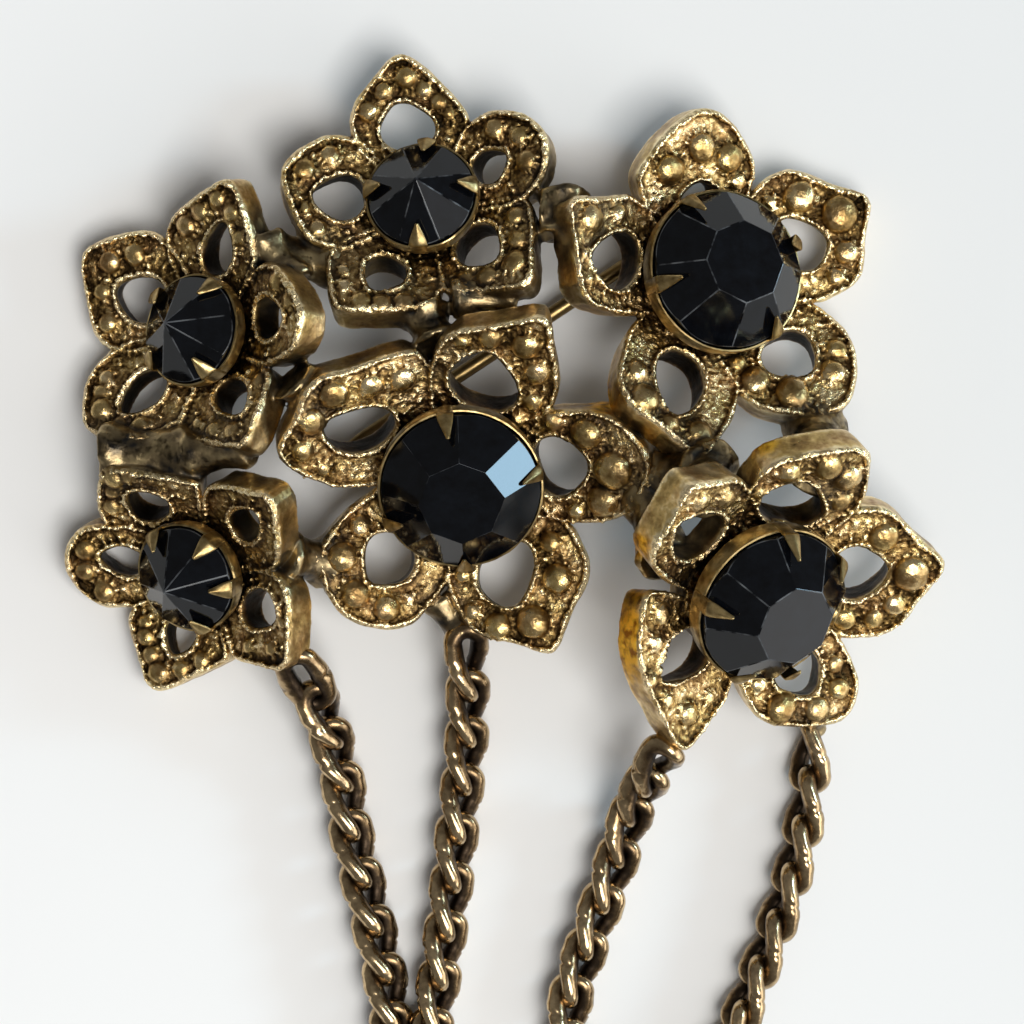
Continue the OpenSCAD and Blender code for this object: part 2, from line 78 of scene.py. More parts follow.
FLOWER_TABLE = {
    "top": (-5.1, 23.8, 5.6, 18, 112, "small", 22),
    "left": (-19.3, 15.5, 5.1, 32, 168, "small", 12),
    "lower_left": (-19.8, 0.2, 4.6, 32, 215, "small", 10),
    "middle": (-2.8, 6.2, 6.0, 19, 272, "large", 2),
    "right": (13.5, 19.2, 4.7, 22, 20, "large", 0),
    "lower_right": (16.0, -1.0, 8.7, 37, 316, "large", 8),
}
FLOWERS = {name: Flower(*row) for name, row in FLOWER_TABLE.items()}
PETAL_TABLE = {
    "top": [
        (101, 3.7, 3.8, 5.2, 8.4, -0.4, 2.0, 4.9, 1.8, 0.4, -0.2),
        (29, 3.2, 5.2, 4.8, 7.2, 0.0, 1.8, 4.1, 1.1, 0.0, -0.5),
        (322, 4.1, 3.5, 4.0, 8.3, -0.7, 1.3, 4.5, 1.6, -0.4, 0.0),
        (244, 3.9, 4.3, 4.8, 8.0, -1.4, 2.3, 5.0, 1.4, 0.0, 0.0),
        (173, 3.8, 5.4, 5.5, 7.9, -0.8, 2.0, 5.2, 1.6, 0.5, 0.0),
    ],
    "left": [
        (151, 4.1, 5.5, 5.3, 8.8, -0.7, 1.9, 5.2, 1.6, 0.3, 0.0),
        (83, 3.5, 4.2, 5.2, 8.4, -1.9, 1.9, 5.2, 1.2, -1.1, -0.2),
        (9, 3.2, 5.8, 4.6, 7.3, -0.7, 2.2, 5.0, 1.4, -0.5, -0.3),
        (295, 3.8, 4.1, 3.9, 7.8, 1.2, 1.8, 4.7, 1.3, 1.2, 0.0),
        (219, 3.5, 5.9, 5.1, 8.4, -0.1, 2.1, 5.5, 1.2, 0.4, -0.3),
    ],
    "lower_left": [
        (121, 3.8, 3.1, 4.9, 7.4, 0.8, 2.2, 4.6, 1.3, 0.6, 0.0),
        (179, 2.8, 5.9, 5.5, 7.4, -0.2, 2.2, 4.8, 1.0, -0.6, -0.4),
        (249, 3.7, 3.7, 3.2, 7.4, -0.3, 1.7, 4.1, 1.1, 0.1, 0.0),
        (329, 3.5, 3.4, 4.9, 7.4, -1.2, 1.8, 4.6, 1.5, 1.0, 0.0),
        (41, 3.3, 4.5, 4.2, 8.3, -0.2, 2.4, 5.4, 1.1, -0.1, 0.0),
    ],
    "middle": [
        (144, 5.5, 4.5, 7.9, 9.0, -0.5, 2.0, 6.1, 1.9, 1.7, 0.3),
        (73, 4.0, 5.1, 6.3, 9.8, -1.9, 1.4, 5.6, 2.4, 1.0, 0.2),
        (8, 3.7, 6.6, 6.6, 9.3, 0.1, 1.3, 4.8, 2.1, 0.1, -0.3),
        (300, 4.5, 6.0, 6.0, 9.8, -0.4, 1.8, 5.5, 2.1, -1.1, 0.3),
        (228, 4.0, 6.2, 6.2, 8.4, 0.0, 2.2, 5.4, 1.8, 0.1, -0.5),
    ],
    "right": [
        (100, 4.1, 3.9, 4.0, 7.7, -0.8, 1.2, 2.6, 1.3, -0.2, -0.6),
        (25, 4.3, 5.9, 4.7, 8.8, 0.5, 1.8, 4.7, 1.9, -0.8, 0.3),
        (313, 4.1, 4.9, 5.9, 8.9, -0.1, 2.2, 5.4, 1.9, 0.3, -0.5),
        (247, 4.1, 7.6, 5.4, 9.7, 3.2, 2.2, 6.9, 1.8, 0.1, 0.3),
        (171, 3.8, 3.6, 6.3, 8.4, -2.4, 1.8, 5.6, 2.0, 0.9, 0.2),
    ],
    "lower_right": [
        (134, 3.8, 5.4, 6.2, 8.9, -1.1, 1.8, 6.3, 1.9, 0.9, 0.2),
        (72, 4.1, 4.7, 5.6, 8.5, -1.6, 1.2, 4.6, 2.6, 0.8, -0.3),
        (6, 4.6, 6.5, 5.7, 9.8, 0.3, 2.1, 5.6, 2.0, 0.0, 0.3),
        (300, 3.6, 5.2, 6.2, 8.3, 1.2, 2.4, 5.3, 1.6, 0.3, -0.4),
        (226, 4.1, 5.5, 2.9, 7.7, 3.5, 0.7, 4.8, 1.8, -1.5, 0.0),
    ],
}
PETALS = {name: [Petal(*row) for row in rows] for name, rows in PETAL_TABLE.items()}
# The aim of a petal whose right side starts far out, and where it starts
WIDE_SIDE = {226: (1.4, -6.5)}
# Facets cut a little off true: how far round, and how much steeper, in degrees
OFF_TRUE = {"middle": {0: (12, -6)}}
# The domes in each petal's channel, in the order of the petals. x, y and width, in pixels of the picture
DOMES = {
    "top": [
        [(407, 74, 20), (382, 91, 17), (366, 111, 19), (425, 88, 15), (440, 101, 16), (449, 113, 12)],
        [(493, 126, 20), (517, 136, 17), (523, 160, 20)],
        [(517, 213, 18), (517, 238, 18), (515, 260, 22), (486, 273, 19), (462, 277, 18)],
        [(360, 301, 19), (382, 303, 19), (407, 304, 19), (340, 268, 11), (339, 283, 11)],
        [(304, 168, 20), (330, 152, 19), (318, 229, 17), (307, 207, 11)],
    ],
    "left": [
        [(110, 262, 22), (135, 255, 22), (105, 325, 19), (104, 292, 16)],
        [(180, 222, 21), (195, 208, 19), (215, 195, 18), (228, 215, 18), (235, 240, 15)],
        [(275, 279, 19), (286, 300, 15)],
        [(193, 426, 13), (211, 429, 15), (231, 427, 17), (257, 378, 15)],
        [(101, 374, 15), (96, 391, 14), (100, 409, 21), (120, 420, 15), (140, 424, 18)],
    ],
    "lower_left": [
        [(108, 476, 19), (110, 493, 14), (108, 508, 18), (125, 473, 13)],
        [(86, 551, 21), (82, 573, 19), (101, 597, 21)],
        [(140, 622, 14), (140, 637, 18), (146, 657, 17), (154, 676, 21), (181, 673, 17), (203, 662, 18)],
        [(246, 648, 15), (269, 648, 15), (276, 622, 9)],
        [(228, 493, 9), (246, 492, 9)],
    ],
    "middle": [
        [(404, 377, 24), (372, 387, 22), (334, 395, 28), (314, 423, 26), (301, 453, 22), (321, 476, 16)],
        [(460, 341, 14), (490, 338, 22), (528, 346, 27), (538, 374, 24), (528, 402, 20), (515, 421, 16)],
        [(552, 419, 20), (585, 438, 30), (606, 468, 36), (605, 505, 30), (576, 515, 17)],
        [(547, 544, 20), (555, 578, 28), (533, 622, 32), (497, 629, 25), (468, 615, 17), (463, 575, 15)],
        [(362, 527, 20), (344, 557, 28), (357, 593, 27), (387, 610, 25), (410, 597, 10)],
    ],
    "right": [
        [(670, 169, 28), (702, 148, 28), (734, 153, 28), (743, 180, 17)],
        [(770, 202, 13), (799, 198, 30), (839, 216, 35), (848, 252, 23), (838, 279, 18)],
        [(840, 348, 20), (828, 370, 25), (793, 388, 32), (757, 378, 28), (732, 363, 17)],
        [(624, 335, 25), (640, 370, 20), (645, 398, 28), (672, 420, 18), (703, 434, 24)],
        [(592, 215, 25), (620, 211, 17), (588, 253, 12), (592, 278, 15)],
    ],
    "lower_right": [
        [(700, 510, 18), (725, 503, 20)],
        [(790, 477, 23), (830, 468, 27), (854, 477, 27), (839, 503, 20), (760, 495, 15)],
        [(882, 540, 28), (908, 573, 35), (897, 607, 22), (875, 622, 20), (845, 620, 22)],
        [(835, 665, 18), (839, 688, 21), (817, 708, 25), (782, 707, 30), (760, 685, 16)],
        [(662, 609, 21), (662, 642, 17), (654, 680, 28), (668, 702, 15), (688, 720, 22), (713, 705, 13)],
    ],
}
# Painted orange reflections on the walls, where one petal's gilding would mirror in another. x, y, half width
# and half height, in pixels of the picture
PAINTED_ORANGE_REFLECTIONS = [(592, 345, 14, 24), (600, 395, 12, 18), (630, 640, 14, 34), (640, 545, 8, 12), (762, 442, 14, 12),
         (636, 590, 8, 14)]
# Where the claws of each cup stand, in degrees round its stone
CLAWS = {
    "top": (174, 85, 7, 269),
    "left": (53, 139, 215, 302),
    "lower_left": (122, 50, -5, -70),
    "middle": (101, 15, 273, 205),
    "right": (123, 194, 22, 307),
    "lower_right": (88, 32, 171, 243, 290),
}
# Every run of solder. Places are in millimetres, as in the part's own drawing.
SOLDER = [Run(*row) for row in [
    ("left", "lower_left", -26.2, 7.8, 4.6, -20.0, 7.6, 5.6, 1.5),
    ("left", "lower_left", -20.4, 7.6, 6.2, -16.4, 8.4, 8.0, 1.2),
    ("left", "top", -15.4, 20.6, 5.6, -10.6, 20.0, 5.3, 1.3),
    ("left", "top", -15.6, 21.6, 6.2, -13.6, 18.6, 7.0, 1.1),
    ("top", "right", 3.8, 24.6, 6.8, 3.8, 21.6, 7.6, 1.3),
    ("top", "right", 2.6, 23.0, 6.8, 5.0, 23.0, 7.4, 1.3),
    ("top", "middle", -5.2, 16.8, 7.5, -4.2, 14.6, 8.6, 1.3),
    ("top", "middle", -3.4, 17.6, 8.5, 0.8, 17.8, 8.1, 1.0),
    ("middle", "right", 7.0, 9.6, 7.2, 8.6, 11.0, 8.0, 1.2),
    ("right", "lower_right", 20.4, 9.6, 3.6, 20.0, 6.8, 10.0, 1.6),
    ("right", "lower_right", 13.4, 7.2, 8.8, 12.4, 5.0, 13.4, 1.3),
    ("middle", "lower_right", 9.2, 5.0, 6.4, 10.4, 0.8, 10.4, 1.4),
    ("middle", "lower_right", 9.6, 6.4, 7.2, 12.8, 6.6, 10.4, 1.2),
    ("middle", "middle", -4.4, -1.8, 3.2, -2.6, -4.2, 3.2, 0.9),
    ("lower_right", "lower_right", 20.4, -9.4, 3.8, 20.4, -10.4, 2.0, 0.6),
    ("lower_left", "middle", -14.4, 1.2, 7.2, -11.6, 0.6, 4.6, 1.3),
    ("left", "middle", -13.6, 12.4, 9.2, -12.6, 11.4, 8.6, 1.2),
]]

# How deep a petal starts under the hub's face, how far it leans back, and how wide its neck spreads
PETAL_SINK, PETAL_LEAN, NECK_SPREAD = 0.1, 20, 38
# Points round an outline, for a mesh and for finding places
AROUND, FINE = 96, 480


# Working with objects and meshes

def only(piece):
    """Select one piece and nothing else."""
    bpy.ops.object.select_all(action="DESELECT")
    piece.select_set(True)
    bpy.context.view_layer.objects.active = piece


def edit(piece):
    only(piece)
    bpy.ops.object.mode_set(mode="EDIT")


def done():
    bpy.ops.object.mode_set(mode="OBJECT")


def begin(primitive, **sizes):
    """A primitive to model from, its place and its turn already in its mesh."""
    bpy.ops.object.select_all(action="DESELECT")
    primitive(**sizes)
    bpy.ops.object.transform_apply(location=True, rotation=True, scale=True)
    return bpy.context.object


def pick_all():
    bpy.ops.mesh.select_all(action="SELECT")


def face_outward():
    """In edit mode, turn every face to the outside."""
    pick_all()
    bpy.ops.mesh.normals_make_consistent(inside=False)


def pick(kind, test):
    """In edit mode, select the faces or vertices that pass a test, and nothing else."""
    mesh = bmesh.from_edit_mesh(bpy.context.object.data)
    bpy.ops.mesh.select_mode(type=kind)
    bpy.ops.mesh.select_all(action="DESELECT")
    for part in mesh.faces if kind == "FACE" else mesh.verts:
        part.select = test(part)
    mesh.select_flush_mode()
    bmesh.update_edit_mesh(bpy.context.object.data)


def lay_vertices(places):
    """In edit mode, move the vertices of a primitive onto an outline."""
    mesh = bmesh.from_edit_mesh(bpy.context.object.data)
    for vertex, place in zip(mesh.verts, places):
        vertex.co = place
    bmesh.update_edit_mesh(bpy.context.object.data)


def finish_with(piece, kind, **settings):
    """Add a modifier and apply it."""
    only(piece)
    modifier = piece.modifiers.new(kind.lower(), kind)
    for name, value in settings.items():
        setattr(modifier, name, value)
    bpy.ops.object.modifier_apply(modifier=modifier.name)


def soften(piece, width, segments, degrees):
    """Bevel the edges that are sharper than an angle."""
    finish_with(piece, "BEVEL", width=width, segments=segments, limit_method="ANGLE",
                angle_limit=math.radians(degrees))


def shade_below(piece, degrees):
    """Shade smooth across the edges that are flatter than an angle."""
    only(piece)
    bpy.ops.object.shade_smooth_by_angle(angle=math.radians(degrees))


def join(pieces):
    bpy.ops.object.select_all(action="DESELECT")
    for piece in pieces:
        piece.select_set(True)
    bpy.context.view_layer.objects.active = pieces[0]
    bpy.ops.object.join()
    return bpy.context.object


def put(piece, place):
    """Carry a piece from its own frame to its place, in its mesh."""
    piece.data.transform(place)
    piece.data.update()
    return piece


def copy_of(piece, place):
    twin = piece.copy()
    twin.data = piece.data.copy()
    bpy.context.scene.collection.objects.link(twin)
    return put(twin, place)


def remove(piece):
    bpy.data.objects.remove(piece)


def clouds(name, size, depth=2, hard=False):
    texture = bpy.data.textures.new(name, "CLOUDS")
    texture.noise_scale = size
    texture.noise_depth = depth
    texture.noise_type = "HARD_NOISE" if hard else "SOFT_NOISE"
    return texture


def hand_in(piece, name, node_names, finish, body="brooch"):
    """Make a finished piece metres, name it and fix it to its body in place of its nodes."""
    piece.data.transform(Matrix.Scale(MM, 4))
    piece.name = name
    piece.data.name = name
    piece.data.materials.clear()
    piece.data.materials.append(finish)
    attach(piece, body)
    if node_names:
        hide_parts(*node_names)
    return piece


# Places

def turn(axis, degrees):
    return Matrix.Rotation(math.radians(degrees), 4, axis)


def flower_place(name):
    own = FLOWERS[name]
    return (Matrix.Translation(Vector((own.x, own.y, own.z)) + SHIFT)
            @ turn("Z", own.toward) @ turn("Y", own.tilt) @ turn("Z", -own.toward))


def cast_of(name):
    """The sizes of a flower's casting."""
    return CAST[FLOWERS[name].size]


def petal_place(name, aim):
    return (flower_place(name) @ turn("Z", aim)
            @ Matrix.Translation((cast_of(name)["root"], 0, -PETAL_SINK)) @ turn("Y", -PETAL_LEAN))


def seen_on(place, px, py):
    """Where the picture's point px, py falls on the face z = 0 of a place, in its own frame."""
    back = place.inverted()
    eye = back @ EYE
    ray = back.to_3x3() @ Vector(((px - HALF_PICTURE) * PIXEL, (HALF_PICTURE - py) * PIXEL, -1))
    return eye - ray * (eye.z / ray.z)


# Outlines of the petals, as in the part's drawing

def soft_corner(before, corner, after, radius):
    to_before = before - corner
    to_after = after - corner
    one = corner + to_before.normalized() * min(radius, to_before.length * 0.49)
    two = corner + to_after.normalized() * min(radius, to_after.length * 0.49)
    return [one.lerp(corner, t).lerp(corner.lerp(two, t), t) for t in (0, 0.25, 0.5, 0.75, 1)]


def soft_outline(corners, radii):
    points = []
    for i, radius in enumerate(radii):
        after = corners[(i + 1) % len(corners)]
        points += soft_corner(corners[i - 1], corners[i], after, radius) if radius else [corners[i]]
    return points


def beside_tip(shoulder, tip, pinch):
    """A point beside the tip, pushed in by a pinch, or out where the pinch is negative."""
    along = (tip - shoulder).normalized()
    inward = Vector((-along.y, along.x)) if shoulder.y < 0 else Vector((along.y, -along.x))
    return shoulder * 0.45 + tip * 0.55 + inward * pinch


def petal_outline(petal, cast):
    tip = Vector((petal.reach, petal.lean))
    right = Vector((petal.right, -petal.half))
    left = Vector((petal.left, petal.half))
    neck = min(petal.half, (cast["root"] + cast["notch"]) * math.tan(math.radians(NECK_SPREAD)))
    wide = petal.aim in WIDE_SIDE
    side_start = Vector(WIDE_SIDE[petal.aim] if wide else (cast["notch"], -neck))
    corners = [Vector((0, -cast["root"] * 0.9)), side_start, right, tip, left,
               Vector((cast["notch"], neck)), Vector((0, cast["root"] * 0.9))]
    radii = [0, 1.2 if wide else 0.4, cast["shoulder"], cast["tip"], cast["shoulder"], 0.4, 0]
    if petal.pinch:
        side = 1 if petal.pinch > 0 else 2
        corners[3:4] = [beside_tip(right, tip, petal.pinch), tip, beside_tip(left, tip, petal.pinch)]
        radii[3:4] = [side, cast["tip"] * side, side]
    return soft_outline(corners, radii)


def window_outline(petal):
    """The window of a petal, opened a little wider than in the drawing to make room for its milled edge."""
    start, side = petal.start, petal.side
    half, end = petal.opening * 1.08 + 0.08, petal.end + 0.2
    middle = start + (end - start) * 0.45
    corners = [Vector(c) for c in (
        (start, side * 0.2 - half * 0.55), (middle, side * 0.5 - half), (end, side - half * 0.3),
        (end, side + half * 0.3), (middle, side * 0.5 + half), (start, side * 0.2 + half * 0.55))]
    return soft_outline(corners, [half * 0.75] * 6)


def even(points, count):
    """A closed outline as evenly spaced points, from its farthest point outwards, anticlockwise."""
    p = np.array([tuple(q) for q in points], float)
    p = np.roll(p, -int(np.argmax(p[:, 0])), axis=0)
    closed = np.vstack([p, p[:1]])
    run = np.concatenate([[0], np.cumsum(np.linalg.norm(np.diff(closed, axis=0), axis=1))])
    at = np.arange(count) * run[-1] / count
    return np.stack([np.interp(at, run, closed[:, k]) for k in (0, 1)], axis=1)


# Castings

def grain_pattern():
    return begin(bpy.ops.mesh.primitive_ico_sphere_add, subdivisions=2, radius=1)


def dome_pattern():
    """A round dome, one millimetre in radius, whose lower half is a short skirt."""
    dome = begin(bpy.ops.mesh.primitive_uv_sphere_add, segments=28, ring_count=16, radius=1)
    edit(dome)
    pick("VERT", lambda v: v.co.z < -0.1)
    bpy.ops.transform.resize(value=(1.05, 1.05, 0.5), center_override=(0, 0, -0.1))
    done()
    return dome


def strew(pattern, places):
    """Copies of a small pattern in one mesh. A place is x, y, z, width and height, as half sizes."""
    corners = vertex_data(pattern.data)[0]
    count = len(corners)
    at = np.array(places, float)
    points = corners[None] * at[:, None, [3, 3, 4]] + at[:, None, :3]
    every = [tuple(i + k * count for i in face.vertices)
             for k in range(len(at)) for face in pattern.data.polygons]
    mesh = bpy.data.meshes.new("grains")
    mesh.from_pydata(points.reshape(-1, 3), [], every)
    piece = bpy.data.objects.new("grains", mesh)
    bpy.context.scene.collection.objects.link(piece)
    return piece


# The sloped edge of a petal, and the rim and the channel inside it
SLOPE_WIDE, SLOPE_DEEP = 0.2, 0.2
RIM_WIDE, CHANNEL_DEEP = 0.22, 0.22
# The grains in a channel: how many there are at most, how often a place is tried, and how many stand
# round a dome for each millimetre of its radius
SMALL_GRAINS, TRIES, COLLAR = 14, 300, 21
# The soft corners take some of a petal's size away, and this gives it back.
GROWN = 1.055
# How much the outside narrows and the windows widen towards the back
DRAFT, WINDOW_DRAFT = 0.93, 1.16


def petal_lines(petal, cast, count):
    """The outline and the window of a petal as evenly spaced points."""
    window = even(window_outline(petal), count)
    middle = window.mean(axis=0)
    return middle + (even(petal_outline(petal, cast), count) - middle) * GROWN, window


def petal_body(petal, cast):
    """A thick loop with sloped edges and a channel sunk into its face."""
    outline, window = petal_lines(petal, cast, AROUND)
    x, y = window.mean(axis=0)
    body = begin(bpy.ops.mesh.primitive_circle_add, vertices=AROUND, radius=5)
    edit(body)
    bpy.ops.mesh.primitive_circle_add(vertices=AROUND, radius=2)
    lay_vertices([(u, v, 0) for u, v in np.vstack([outline, window])])
    pick_all()
    bpy.ops.mesh.bridge_edge_loops()
    pick_all()
    bpy.ops.mesh.extrude_region_move(TRANSFORM_OT_translate={"value": (0, 0, -cast["thick"])})
    face_outward()
    low = -cast["thick"] / 2

    def on(line):
        places = {tuple(np.round(p, 3)) for p in line}
        return lambda v: (round(v.co.x, 3), round(v.co.y, 3)) in places

    # The outside narrows towards the back and the window widens.
    # Then the face gets its sloped edges and its channel.
    outside, inside = on(outline), on(window)
    for test, draft in ((outside, DRAFT), (inside, WINDOW_DRAFT)):
        pick("VERT", lambda v, t=test: v.co.z < low and t(v))
        bpy.ops.transform.resize(value=(draft, draft, 1), center_override=(x, y, low))
    pick("FACE", lambda f: f.normal.z > 0.9 and f.calc_center_median().z > low)
    bpy.ops.mesh.inset(thickness=SLOPE_WIDE, depth=0)
    for test, deep in ((outside, SLOPE_DEEP), (inside, SLOPE_DEEP * 0.6)):
        pick("VERT", lambda v, t=test: v.co.z > low and t(v))
        bpy.ops.transform.translate(value=(0, 0, -deep))
    pick("FACE", lambda f: f.normal.z > 0.995 and f.calc_center_median().z > -0.01)
    bpy.ops.mesh.inset(thickness=RIM_WIDE, depth=-CHANNEL_DEEP)
    done()
    return body


def beyond_hub(points, cast):
    """Which points of a petal's face lie outside its hub."""
    lean = math.cos(math.radians(PETAL_LEAN))
    return np.hypot(cast["root"] + points[:, 0] * lean, points[:, 1]) > cast["hub"] - 0.4


def petal_grains(name, petal, domes, cast):
    """Places of the milled edges, the domes with their crinkled collars, and the small grains between."""
    place = petal_place(name, petal.aim)
    outline, window = petal_lines(petal, cast, FINE)
    middle = window.mean(axis=0)
    across = window - outline
    wide = np.linalg.norm(across, axis=1)[:, None]
    grains = []
    # A milled edge: its line, the way into the channel, how far apart its grains stand, and their size
    edges = ((outline, across / wide, 0.34, 0.19), (window, -across / wide, 0.36, 0.16))
    for line, inward, step, size in edges:
        crest = line + inward * (SLOPE_WIDE + RIM_WIDE * 0.4)
        length = np.linalg.norm(np.diff(crest, axis=0), axis=1).sum()
        crest = even(crest, int(length / step))
        for x, y in crest[beyond_hub(crest, cast)]:
            dx, dy = chance.normal(0, 0.035, 2)
            width = size * chance.uniform(0.65, 1.15)
            grains.append((x + dx, y + dy, -0.05, width, width * 0.95))
    balls = []
    for px, py, width in domes:
        spot = np.array(seen_on(place, px, py)[:2])
        out = outline[np.argmin(np.linalg.norm(outline - spot, axis=1))]
        hole = window[np.argmin(np.linalg.norm(window - spot, axis=1))]
        gap_out, gap_in = np.linalg.norm(out - spot), np.linalg.norm(hole - spot)
        band = (out - hole) / np.linalg.norm(out - hole)
        if np.linalg.norm(spot - middle) > np.linalg.norm(out - middle):
            continue
        spot = spot + band * (gap_out - gap_in) * 0.3
        radius = min(width * PIXEL_WIDE / 2 * 1.12, (gap_out + gap_in) / 2 - 0.14)
        balls.append((spot[0], spot[1], -CHANNEL_DEEP + radius * 0.1, radius, radius * 0.6))
        for step in range(int(radius * COLLAR)):
            round_to = (step + chance.uniform(0, 0.6)) / (radius * COLLAR) * math.tau
            width = chance.uniform(0.07, 0.15)
            reach = radius * 1.04 + 0.06
            grains.append((spot[0] + reach * math.cos(round_to), spot[1] + reach * math.sin(round_to),
                           -CHANNEL_DEEP + 0.04, width, width))
    small = []
    for _ in range(TRIES):
        i = chance.integers(FINE)
        spot = outline[i] + across[i] * chance.uniform(0.2, 0.8)
        width = chance.uniform(0.09, 0.2)
        clear = all(math.hypot(spot[0] - b[0], spot[1] - b[1]) > b[3] + width for b in balls)
        apart = all(math.hypot(spot[0] - g[0], spot[1] - g[1]) > g[3] + width for g in small)
        if clear and apart and len(small) < SMALL_GRAINS and beyond_hub(spot[None], cast)[0]:
            small.append((spot[0], spot[1], -CHANNEL_DEEP + 0.03, width, width * 0.9))
    return place, grains + small, balls


def vertex_data(mesh):
    """The places and normals of a mesh's vertices, and the two ends of each edge."""
    count = len(mesh.vertices)
    points, normals = np.empty(count * 3), np.empty(count * 3)
    mesh.vertices.foreach_get("co", points)
    mesh.vertex_normals.foreach_get("vector", normals)
    ends = np.empty(len(mesh.edges) * 2, int)
    mesh.edges.foreach_get("vertices", ends)
    return points.reshape(-1, 3), normals.reshape(-1, 3), ends.reshape(-1, 2)


def smoothed(values, ends, passes):
    """Each vertex's values averaged with its neighbours', again and again."""
    count = len(values)
    near = np.bincount(ends.ravel(), minlength=count)
    one, two = ends.T
    for _ in range(passes):
        values = np.stack([
            (np.bincount(one, v[two], count) + np.bincount(two, v[one], count)) / near
            for v in values.T], axis=1)
    return values


def mark(piece, name, values):
    attribute = piece.data.attributes.new(name, "FLOAT", "POINT")
    attribute.data.foreach_set("value", values.astype(np.float32))


def mark_wear(piece, fine=14, coarse=90):
    """How far each place stands out of its surroundings, close by and wide: 0 sunk, 1 raised."""
    points, normals, ends = vertex_data(piece.data)
    soft = smoothed(points, ends, fine)
    mark(piece, "wear", np.clip(0.5 + ((points - soft) * normals).sum(axis=1) / 0.12, 0, 1))
    softer = smoothed(soft, ends, coarse)
    mark(piece, "relief", np.clip(0.5 + ((points - softer) * normals).sum(axis=1) / 0.7, 0, 1))


def carried(points, place):
    """Points in another frame."""
    return points @ np.array(place.to_3x3()).T + np.array(place.translation)


def on_domes(points, domes):
    """1 on the domes, 0 beside them. A dome is its middle and its radius."""
    amount = np.zeros(len(points))
    for middle, radius in domes:
        away = np.linalg.norm(points - np.array(middle), axis=1)
        amount = np.maximum(amount, np.clip((radius * 1.03 - away) / 0.08, 0, 1))
    return amount


def within(places, line, grown=1.0):
    """Which places lie inside a closed line, by their distance from its middle."""
    middle = line.mean(axis=0)
    round_to = np.arctan2(*(line - middle).T[::-1])
    order = np.argsort(round_to)
    reach = np.linalg.norm(line - middle, axis=1)
    away = places - middle
    edge = np.interp(np.arctan2(away[:, 1], away[:, 0]), round_to[order], reach[order], period=math.tau)
    return np.linalg.norm(away, axis=1) < edge * grown


def on_faces(points, name):
    """Which points belong to the face of a petal."""
    found = np.zeros(len(points), bool)
    for petal in PETALS[name]:
        here = carried(points, petal_place(name, petal.aim).inverted())
        outline, _ = petal_lines(petal, cast_of(name), AROUND)
        found |= within(here[:, :2], outline, 1.03) & (here[:, 2] > -0.4) & (here[:, 2] < 1)
    return found


def patina_and_window_shade(points, name):
    """How dark each place is made: much dark patina round the stone, and painted shade inside the windows,
    deeper further down, some of it on the walls.
    """
    here = carried(points, flower_place(name).inverted())
    amount = np.clip((cast_of(name)["hub"] + 1.2 - np.hypot(here[:, 0], here[:, 1])) / 1.8, 0, 0.8)
    # Inside the windows the darkening is painted shade, deeper further down.
    for petal in PETALS[name]:
        here = carried(points, petal_place(name, petal.aim).inverted())
        hole = within(here[:, :2], even(window_outline(petal), AROUND), WINDOW_DRAFT + 0.05)
        amount = np.maximum(amount, np.where(hole, np.clip((-here[:, 2] - 0.15) / 0.6, 0, 0.9), 0))
    return amount


def runs_on(name):
    """The runs of solder on one casting."""
    return [run for run in SOLDER if name in (run.one, run.two)]


def ends_of_run(run):
    return Vector((run.x0, run.y0, run.z0)) + SHIFT, Vector((run.x1, run.y1, run.z1)) + SHIFT


def soldered(points, name, grown, fade):
    """1 within reach of the solder on one casting, and 0 a fade further away."""
    amount = np.zeros(len(points))
    for run in runs_on(name):
        one, two = (np.array(end) for end in ends_of_run(run))
        along = two - one
        share = np.clip((points - one) @ along / (along @ along), 0, 1)
        away = np.linalg.norm(points - one - share[:, None] * along, axis=1)
        amount = np.maximum(amount, np.clip(1 - (away - run.radius * grown) / fade, 0, 1))
    return amount


def painted_orange_reflection(points):
    """Painted reflection: a few walls that face another petal are coloured orange, as if they mirrored its
    gilding.
    """
    amount = np.zeros(len(points))
    for px, py, wide, high in PAINTED_ORANGE_REFLECTIONS:
        lean = (EYE.z - points[:, 2]) * PIXEL
        dx = (points[:, 0] - EYE.x) / lean - (px - HALF_PICTURE)
        dy = (points[:, 1] - EYE.y) / lean + (py - HALF_PICTURE)
        amount = np.maximum(amount, np.exp(-(dx / wide) ** 2 - (dy / high) ** 2))
    return amount


def weigh(piece, name, weights):
    """A vertex group whose weights are rounded to eighths."""
    group = piece.vertex_groups.new(name=name)
    steps = np.round(np.clip(weights, 0, 1) * 8).astype(int)
    for step in range(1, 9):
        group.add(np.nonzero(steps == step)[0].tolist(), step / 8, "REPLACE")


def bar(run):
    """A run of solder, drawn in at its middle where it cooled between two petals."""
    one, two = ends_of_run(run)
    along = two - one
    rod = begin(bpy.ops.mesh.primitive_cylinder_add, vertices=20, radius=run.radius, depth=1)
    edit(rod)
    for height in (-0.4, -0.2, 0.0, 0.2, 0.4):
        pick_all()
        bpy.ops.mesh.bisect(plane_co=(0, 0, height), plane_no=(0, 0, 1))
    for height, wide in ((0.5, 1.3), (0.4, 1.4), (0.2, 1.1)):
        pick("VERT", lambda v, h=height: abs(abs(v.co.z) - h) < 0.01)
        bpy.ops.transform.resize(value=(wide, wide, 1), center_override=(0, 0, 0))
    pick_all()
    bpy.ops.transform.resize(value=(1, 1, along.length), center_override=(0, 0, 0))
    done()
    return put(rod, Matrix.Translation((one + two) / 2) @ along.to_track_quat("Z", "X").to_matrix().to_4x4())


# The cells in which a casting's parts are fused, and how deep the back of its hub is dished
VOXEL, HUB_DISH = 0.085, 0.35
# The crinkles on a casting's face, the lumps of its solder, and the waves in the whole of it
CRINKLE = clouds("crinkle", 0.5, hard=True)
LUMPS = clouds("lumps", 1.6, 1)
UNEVEN = clouds("uneven", 1.6)


